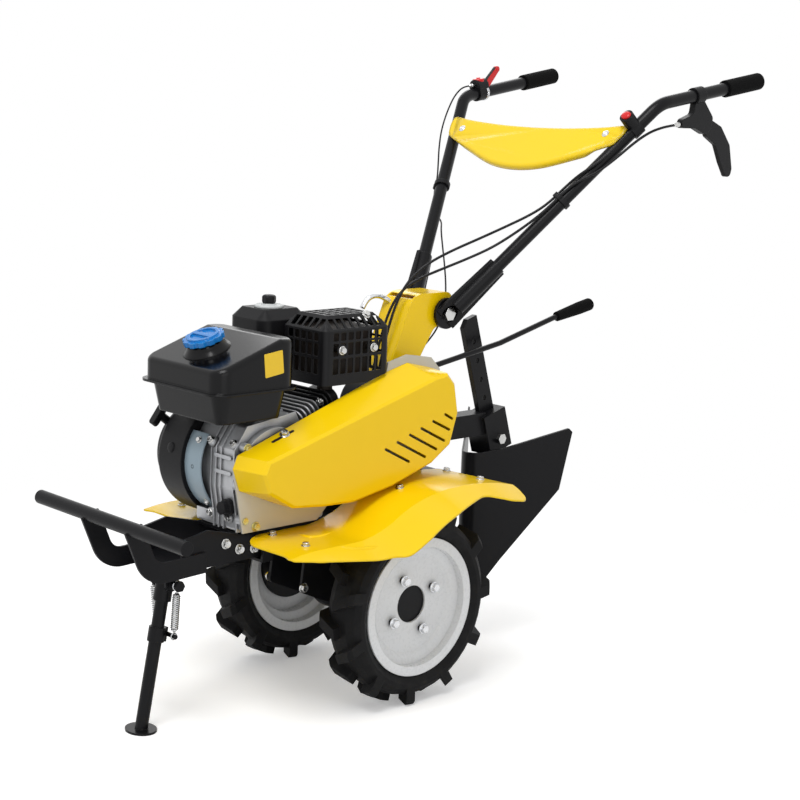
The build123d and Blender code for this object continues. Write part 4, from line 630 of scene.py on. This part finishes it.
# Panel between the arms: its rolled rim is shallow over the tubes and crisp along the top.
# The outline lies in the panel's own plane, and the rim's steps are pairs of inset and depth in mm.
panelShell = {
    "origin": (0.0, 0.324, 1.044), "up": (0.0, 0.637, 0.771), "out": (0.0, -0.771, 0.637), "steps": 7,
    "top": (0.0, 0.0110), "foot": (0.0, -0.0910),
    "half": ((0.06, 0.0118), (0.12, 0.0152), (0.18, 0.0205), (0.218, 0.0262), (0.235, 0.0275),
             (0.2355, 0.0100), (0.230, -0.006), (0.223, -0.0215), (0.205, -0.0300), (0.185, -0.0385),
             (0.160, -0.0485), (0.130, -0.0605), (0.100, -0.0725), (0.070, -0.0825), (0.035, -0.0890)),
    "outer": ((9.0, 0.0), (6.0, -0.5), (3.5, -1.8), (1.6, -3.6), (0.5, -6.0), (0.0, -8.5), (0.0, -12.0)),
    "inner": ((1.6, -12.0), (1.7, -9.0), (2.2, -7.2), (3.4, -5.2), (5.4, -3.4), (7.6, -2.4), (9.6, -1.8)),
    "arm": ((0.213, -0.034), (0.2334, 0.0176)), "clear": (0.018, 0.045),
    "shallow": 0.24, "crisp": 0.22, "footRoll": 1.6, "mm": 0.001,
}
top, half, foot = panelShell["top"], panelShell["half"], panelShell["foot"]
outline = [top, *half, foot, *((-u, v) for u, v in reversed(half)), top]
loop = splineLine([(u, v, 0.0) for u, v in outline], panelShell["steps"])[:-1]
start, end = (Vector((*place, 0.0)) for place in panelShell["arm"])
armWay = (end - start).normalized()
near, far = panelShell["clear"]
shallow, crisp, mm = (panelShell[key] for key in ("shallow", "crisp", "mm"))
origin, upward, outward = (Vector(panelShell[key]) for key in ("origin", "up", "out"))
verts, faces, rings = [], [], []
for inset, depth in (*panelShell["outer"], *panelShell["inner"]):
    ring = []
    for k, point in enumerate(loop):
        along = (loop[(k + 1) % len(loop)] - loop[k - 1]).normalized()
        inward = Vector((along.y, -along.x, 0.0))
        across = (Vector((abs(point.x), point.y, 0.0)) - start).cross(armWay).length
        share = min(1.0, max(0.0, (across - near) / (far - near)))
        share *= share * (3 - 2 * share)
        scale = shallow + (1.0 - shallow) * share
        roll = crisp + (1.0 - crisp) * share * min(1.0, max(0.0, inward.y * panelShell["footRoll"]))
        flat = point + inward * inset * mm * roll
        ring.append(origin + Vector((flat.x, 0, 0)) + upward * flat.y + outward * depth * mm * scale)
    rings.append(ring)
turnRings(verts, faces, rings)
panelPiece = addMesh("panelShell", verts, faces, "panel_yellow", "handlebar", smooth=True)
for polygon in panelPiece.data.polygons:
    polygon.use_smooth = len(polygon.vertices) == 4
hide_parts("handle_panel")
print("panel made")

# Four bolts at each wheel
wheelBolts = {"count": 4, "circle": 0.056, "start": 27.0, "size": 0.016, "outside": 0.4}
for side, hand in (("left", 1), ("right", -1)):
    verts, faces = [], []
    for k in range(wheelBolts["count"]):
        angle = math.radians(wheelBolts["start"] + 360 * k / wheelBolts["count"])
        start = (hand * wheelBolts["outside"], axleY + wheelBolts["circle"] * math.cos(angle),
                 axleZ + wheelBolts["circle"] * math.sin(angle))
        spot, normal = seat("wheel_axle", start, (-hand, 0, 0))
        hexBolt(verts, faces, spot, normal, wheelBolts["size"])
    addMesh(f"wheelBolts_{side}", verts, faces, "chrome", "wheels")
print("wheel bolts set")

# Slot and bolt that set the belt cover's place; the slot is a thin dark plate on the cover, painted as the
# shade inside it
coverSlot = {
    "half": 0.0028, "from": (0.0942, -0.4084, 0.5071), "to": (0.0942, -0.3636, 0.5215), "steps": 12,
    "bolt": (0.0921, -0.3803, 0.5168), "out": (0.30, -0.29, 0.91), "off": 0.05, "size": 0.0145,
    "turns": (0.8, 1.57, 2.3), "sink": 0.001, "proud": 0.0004,
}
out, half = Vector(coverSlot["out"]).normalized(), coverSlot["half"]
start, end = Vector(coverSlot["from"]), Vector(coverSlot["to"])
line = [start.lerp(end, k / coverSlot["steps"]) for k in range(coverSlot["steps"] + 1)]
line = [seat("belt_cover", point + out * coverSlot["off"], -out)[0] for point in line]
along = (line[-1] - line[0]).normalized()
side = along.cross(out).normalized()
verts, faces = [], []
rim = [point + side * half for point in line]
rim += [line[-1] + (along * math.sin(a) + side * math.cos(a)) * half for a in coverSlot["turns"]]
rim += [point - side * half for point in reversed(line)]
rim += [line[0] + (-along * math.sin(a) - side * math.cos(a)) * half for a in coverSlot["turns"]]
turnRings(verts, faces, [[v + out * lift for v in rim] for lift in (-coverSlot["sink"], coverSlot["proud"])])
addMesh("coverSlot", verts, faces, "dark_steel", "chassis")
coverBolt = {"size": coverSlot["size"], "finish": "zinc_steel", "spots": [
    ("belt_cover", Vector(coverSlot["bolt"]) + out * coverSlot["off"], -out)]}
boltSet("coverBolt", coverBolt, "chassis")
print("cover slot made")

# Stamped ribs on the fenders, sunk into the sheet
fenderRibs = {
    "radius": 0.0052, "sink": 0.0030, "steps": 6, "sides": 16, "above": 0.6, "endShare": 0.35, "swell": 4.0,
    "lines": (((0.0946, -0.3589), (0.1300, -0.3600), (0.1441, -0.3489), (0.1420, -0.3200), (0.1290, -0.2900)),
              ((0.2120, -0.3561), (0.2250, -0.3400), (0.2320, -0.3100), (0.2400, -0.2750))),
}
for side, hand in (("left", 1), ("right", -1)):
    verts, faces = [], []
    for flat in fenderRibs["lines"]:
        course = splineLine([(hand * x, y, 0.0) for x, y in flat], fenderRibs["steps"])
        line, sizes = [], []
        for k, point in enumerate(course):
            spot, normal = seat(f"fender_{side}", (point.x, point.y, fenderRibs["above"]), (0, 0, -1))
            line.append(spot - normal * fenderRibs["sink"])
            share = min(k, len(course) - 1 - k) / (len(course) - 1)
            full = min(1.0, fenderRibs["endShare"] + share * fenderRibs["swell"])
            sizes.append(fenderRibs["radius"] * full)
        turnRings(verts, faces, tubeRings(line, sizes, fenderRibs["sides"]))
    addMesh(f"fenderRibs_{side}", verts, faces, "yellow_paint", "chassis", smooth=True)
print("fender ribs made")

# Red throttle lever with its disc, and the clamp's two bands
throttleLever = {
    "x": (-0.2689, -0.2595),
    "blade": ((0.4455, 1.1278), (0.4667, 1.1278), (0.4950, 1.1622), (0.4880, 1.1714)),
    "tipPlace": (-0.2695, 0.4925, 1.1674), "tipSides": 24,
    "tip": ((0.0045, 0.0), (0.0062, 0.0012), (0.0066, 0.003), (0.0066, 0.0076), (0.0062, 0.0094),
            (0.0045, 0.0106)),
    "discPlace": (-0.2664, 0.4407, 1.1390), "discWay": (0, -0.170, 0.985), "discSides": 40,
    "disc": ((0.0125, -0.004), (0.0125, 0.0052), (0.0118, 0.0064), (0.0100, 0.0070), (0.0045, 0.0072),
             (0.0040, 0.0090)),
}
verts, faces = [], []
turnRings(verts, faces, [[(x, y, z) for y, z in throttleLever["blade"]] for x in throttleLever["x"]])
spun(verts, faces, throttleLever["tipPlace"], (1, 0, 0), throttleLever["tip"], throttleLever["tipSides"])
spun(verts, faces, throttleLever["discPlace"], throttleLever["discWay"], throttleLever["disc"],
     throttleLever["discSides"])
addMesh("throttleLever", verts, faces, "lever_red", "handlebar")
throttleClamp = {
    "radius": 0.0168, "wire": 0.0014, "sides": 8, "steps": 40, "places": (0.0225, 0.0262),
    "center": (-0.2657, 0.4320, 1.1130), "way": (-0.047, 0.984, 0.170),
}
verts, faces = [], []
way, across, upward = sideways(throttleClamp["way"])
turns = [2 * math.pi * k / throttleClamp["steps"] for k in range(throttleClamp["steps"] + 1)]
for place in throttleClamp["places"]:
    middle = Vector(throttleClamp["center"]) + way * place
    ring = [middle + (across * math.cos(a) + upward * math.sin(a)) * throttleClamp["radius"] for a in turns]
    turnRings(verts, faces, tubeRings(ring, throttleClamp["wire"], throttleClamp["sides"]))
addMesh("throttleClamp", verts, faces, "chrome", "handlebar", smooth=True)
print("throttle made")

# Red stop button on the switch
stopButton = {
    "top": (0.2392, 0.3277, 1.0828), "axis": (0, -0.771, 0.637), "sides": 40, "oval": 0.82,
    "profile": ((0.0108, -0.001), (0.0108, 0.0018), (0.0098, 0.0036), (0.0070, 0.0048), (0.0030, 0.0052)),
}
verts, faces, rings = [], [], []
axis, across, upward = sideways(stopButton["axis"])
for reach, height in stopButton["profile"]:
    middle = Vector(stopButton["top"]) + axis * height
    rings.append([middle + across * math.cos(a) * reach + upward * math.sin(a) * reach * stopButton["oval"]
                  for a in (2 * math.pi * k / stopButton["sides"] for k in range(stopButton["sides"]))])
turnRings(verts, faces, rings)
addMesh("stopButton", verts, faces, "lever_red", "handlebar", smooth=True)
print("stop button made")

# Blank label on the tank's side
tankLabel = {
    "thick": 0.0003, "sink": 0.0002, "round": 0.002, "cut": 0.45, "start": (0.2, -0.4170, 0.6450),
    "corners": ((-0.4356, 0.6234), (-0.3948, 0.6293), (-0.3990, 0.6700), (-0.4395, 0.6650)),
}
verts, faces, outline = [], [], []
corners = [Vector(corner) for corner in tankLabel["corners"]]
for k, middle in enumerate(corners):
    before, after = corners[k - 1], corners[(k + 1) % len(corners)]
    first = middle + (before - middle).normalized() * tankLabel["round"]
    last = middle + (after - middle).normalized() * tankLabel["round"]
    outline += [first, middle.lerp((first + last) / 2, tankLabel["cut"]), last]
spot, _ = seat("fuel_tank", tankLabel["start"], (-1, 0, 0))
turnRings(verts, faces, [[(x, y, z) for y, z in outline]
                         for x in (spot.x - tankLabel["sink"], spot.x + tankLabel["thick"])])
addMesh("tankLabel", verts, faces, "label_yellow", "chassis")
print("label made")

# Bright cable stop between the column and the engine
cableStop = {
    "radius": 0.0055, "sides": 20,
    "points": ((-0.020, -0.024, 0.713), (-0.026, -0.042, 0.726), (-0.032, -0.062, 0.731),
               (-0.036, -0.080, 0.722), (-0.037, -0.088, 0.706)),
}
verts, faces = [], []
turnRings(verts, faces, tubeRings(splineLine(cableStop["points"]), cableStop["radius"], cableStop["sides"]))
addMesh("cableStop", verts, faces, "chrome", "chassis", smooth=True)
print("cable stop made")

# White background for the camera and for reflections, and softer light on the pieces
studioLight = {"soft": 0.62, "seen": 1.0}
world = bpy.data.worlds.new("studio")
world.use_nodes = True
scene.world = world
tree = world.node_tree
tree.nodes.clear()
make, link = tree.nodes.new, tree.links.new
path = make("ShaderNodeLightPath")
soft = make("ShaderNodeBackground")
white = make("ShaderNodeBackground")
for glow, strength in ((soft, studioLight["soft"]), (white, studioLight["seen"])):
    glow.inputs["Color"].default_value = (1.0, 1.0, 1.0, 1.0)
    glow.inputs["Strength"].default_value = strength
either = make("ShaderNodeMath")
either.operation = "MAXIMUM"
seen = make("ShaderNodeMath")
seen.operation = "MAXIMUM"
mixed = make("ShaderNodeMixShader")
out = make("ShaderNodeOutputWorld")
link(path.outputs["Is Camera Ray"], either.inputs[0])
link(path.outputs["Is Glossy Ray"], either.inputs[1])
link(either.outputs["Value"], seen.inputs[0])
link(path.outputs["Is Transmission Ray"], seen.inputs[1])
link(seen.outputs["Value"], mixed.inputs["Fac"])
link(soft.outputs["Background"], mixed.inputs[1])
link(white.outputs["Background"], mixed.inputs[2])
link(mixed.outputs["Shader"], out.inputs["Surface"])
print("background set")

# Square lamps that face the middle of the machine
lamps = {
    "key": {"place": (1.0, -1.8, 3.8), "size": 1.8, "power": 88.0},
    "fill": {"place": (3.2, -1.6, 1.2), "size": 2.4, "power": 14.0},
    "rear": {"place": (-2.4, 2.2, 2.8), "size": 2.4, "power": 34.0},
}
target = Vector((0.0, 0.0, 0.5))
for name, lamp in lamps.items():
    light = bpy.data.lights.new(name, "AREA")
    light.shape = "SQUARE"
    light.size = lamp["size"]
    light.energy = lamp["power"]
    holder = bpy.data.objects.new(name, light)
    holder.location = lamp["place"]
    holder.rotation_mode = "QUATERNION"
    holder.rotation_quaternion = (target - holder.location).to_track_quat("-Z", "Y")
    scene.collection.objects.link(holder)
print("lamps set")

# Pale floor that fades into the white background and keeps the shadow
studioFloor = {
    "half": 6.0, "albedo": 0.93, "rough": 0.9, "specular": 0.1, "lift": 0.28, "fadeFrom": 0.75, "fadeTo": 1.7,
}
floorMaterial, tree, shader = nodeTree("studioFloor")
make, link = tree.nodes.new, tree.links.new
shader.inputs["Base Color"].default_value = (*[studioFloor["albedo"]] * 3, 1.0)
shader.inputs["Roughness"].default_value = studioFloor["rough"]
shader.inputs["Specular IOR Level"].default_value = studioFloor["specular"]
lit = make("ShaderNodeLightPath")
glow = make("ShaderNodeEmission")
strength = make("ShaderNodeMath")
strength.operation = "MULTIPLY"
strength.inputs[1].default_value = studioFloor["lift"]
link(lit.outputs["Is Camera Ray"], strength.inputs[0])
link(strength.outputs["Value"], glow.inputs["Strength"])
lifted = make("ShaderNodeAddShader")
link(shader.outputs["BSDF"], lifted.inputs[0])
link(glow.outputs["Emission"], lifted.inputs[1])
clear = make("ShaderNodeBsdfTransparent")
fade = make("ShaderNodeMixShader")
where = make("ShaderNodeTexCoord")
away = make("ShaderNodeVectorMath")
away.operation = "LENGTH"
ramp = make("ShaderNodeMapRange")
ramp.interpolation_type = "SMOOTHSTEP"
ramp.inputs["From Min"].default_value = studioFloor["fadeFrom"]
ramp.inputs["From Max"].default_value = studioFloor["fadeTo"]
link(where.outputs["Object"], away.inputs[0])
link(away.outputs["Value"], ramp.inputs["Value"])
link(ramp.outputs["Result"], fade.inputs["Fac"])
link(lifted.outputs["Shader"], fade.inputs[1])
link(clear.outputs["BSDF"], fade.inputs[2])
link(fade.outputs["Shader"], tree.nodes["Material Output"].inputs["Surface"])
half = studioFloor["half"]
corners = [(-half, -half, 0), (half, -half, 0), (half, half, 0), (-half, half, 0)]
floorData = bpy.data.meshes.new("floor")
floorData.from_pydata(corners, [], [(0, 1, 2, 3)])
floorData.materials.append(floorMaterial)
floor = bpy.data.objects.new("floor", floorData)
scene.collection.objects.link(floor)
print("floor made")
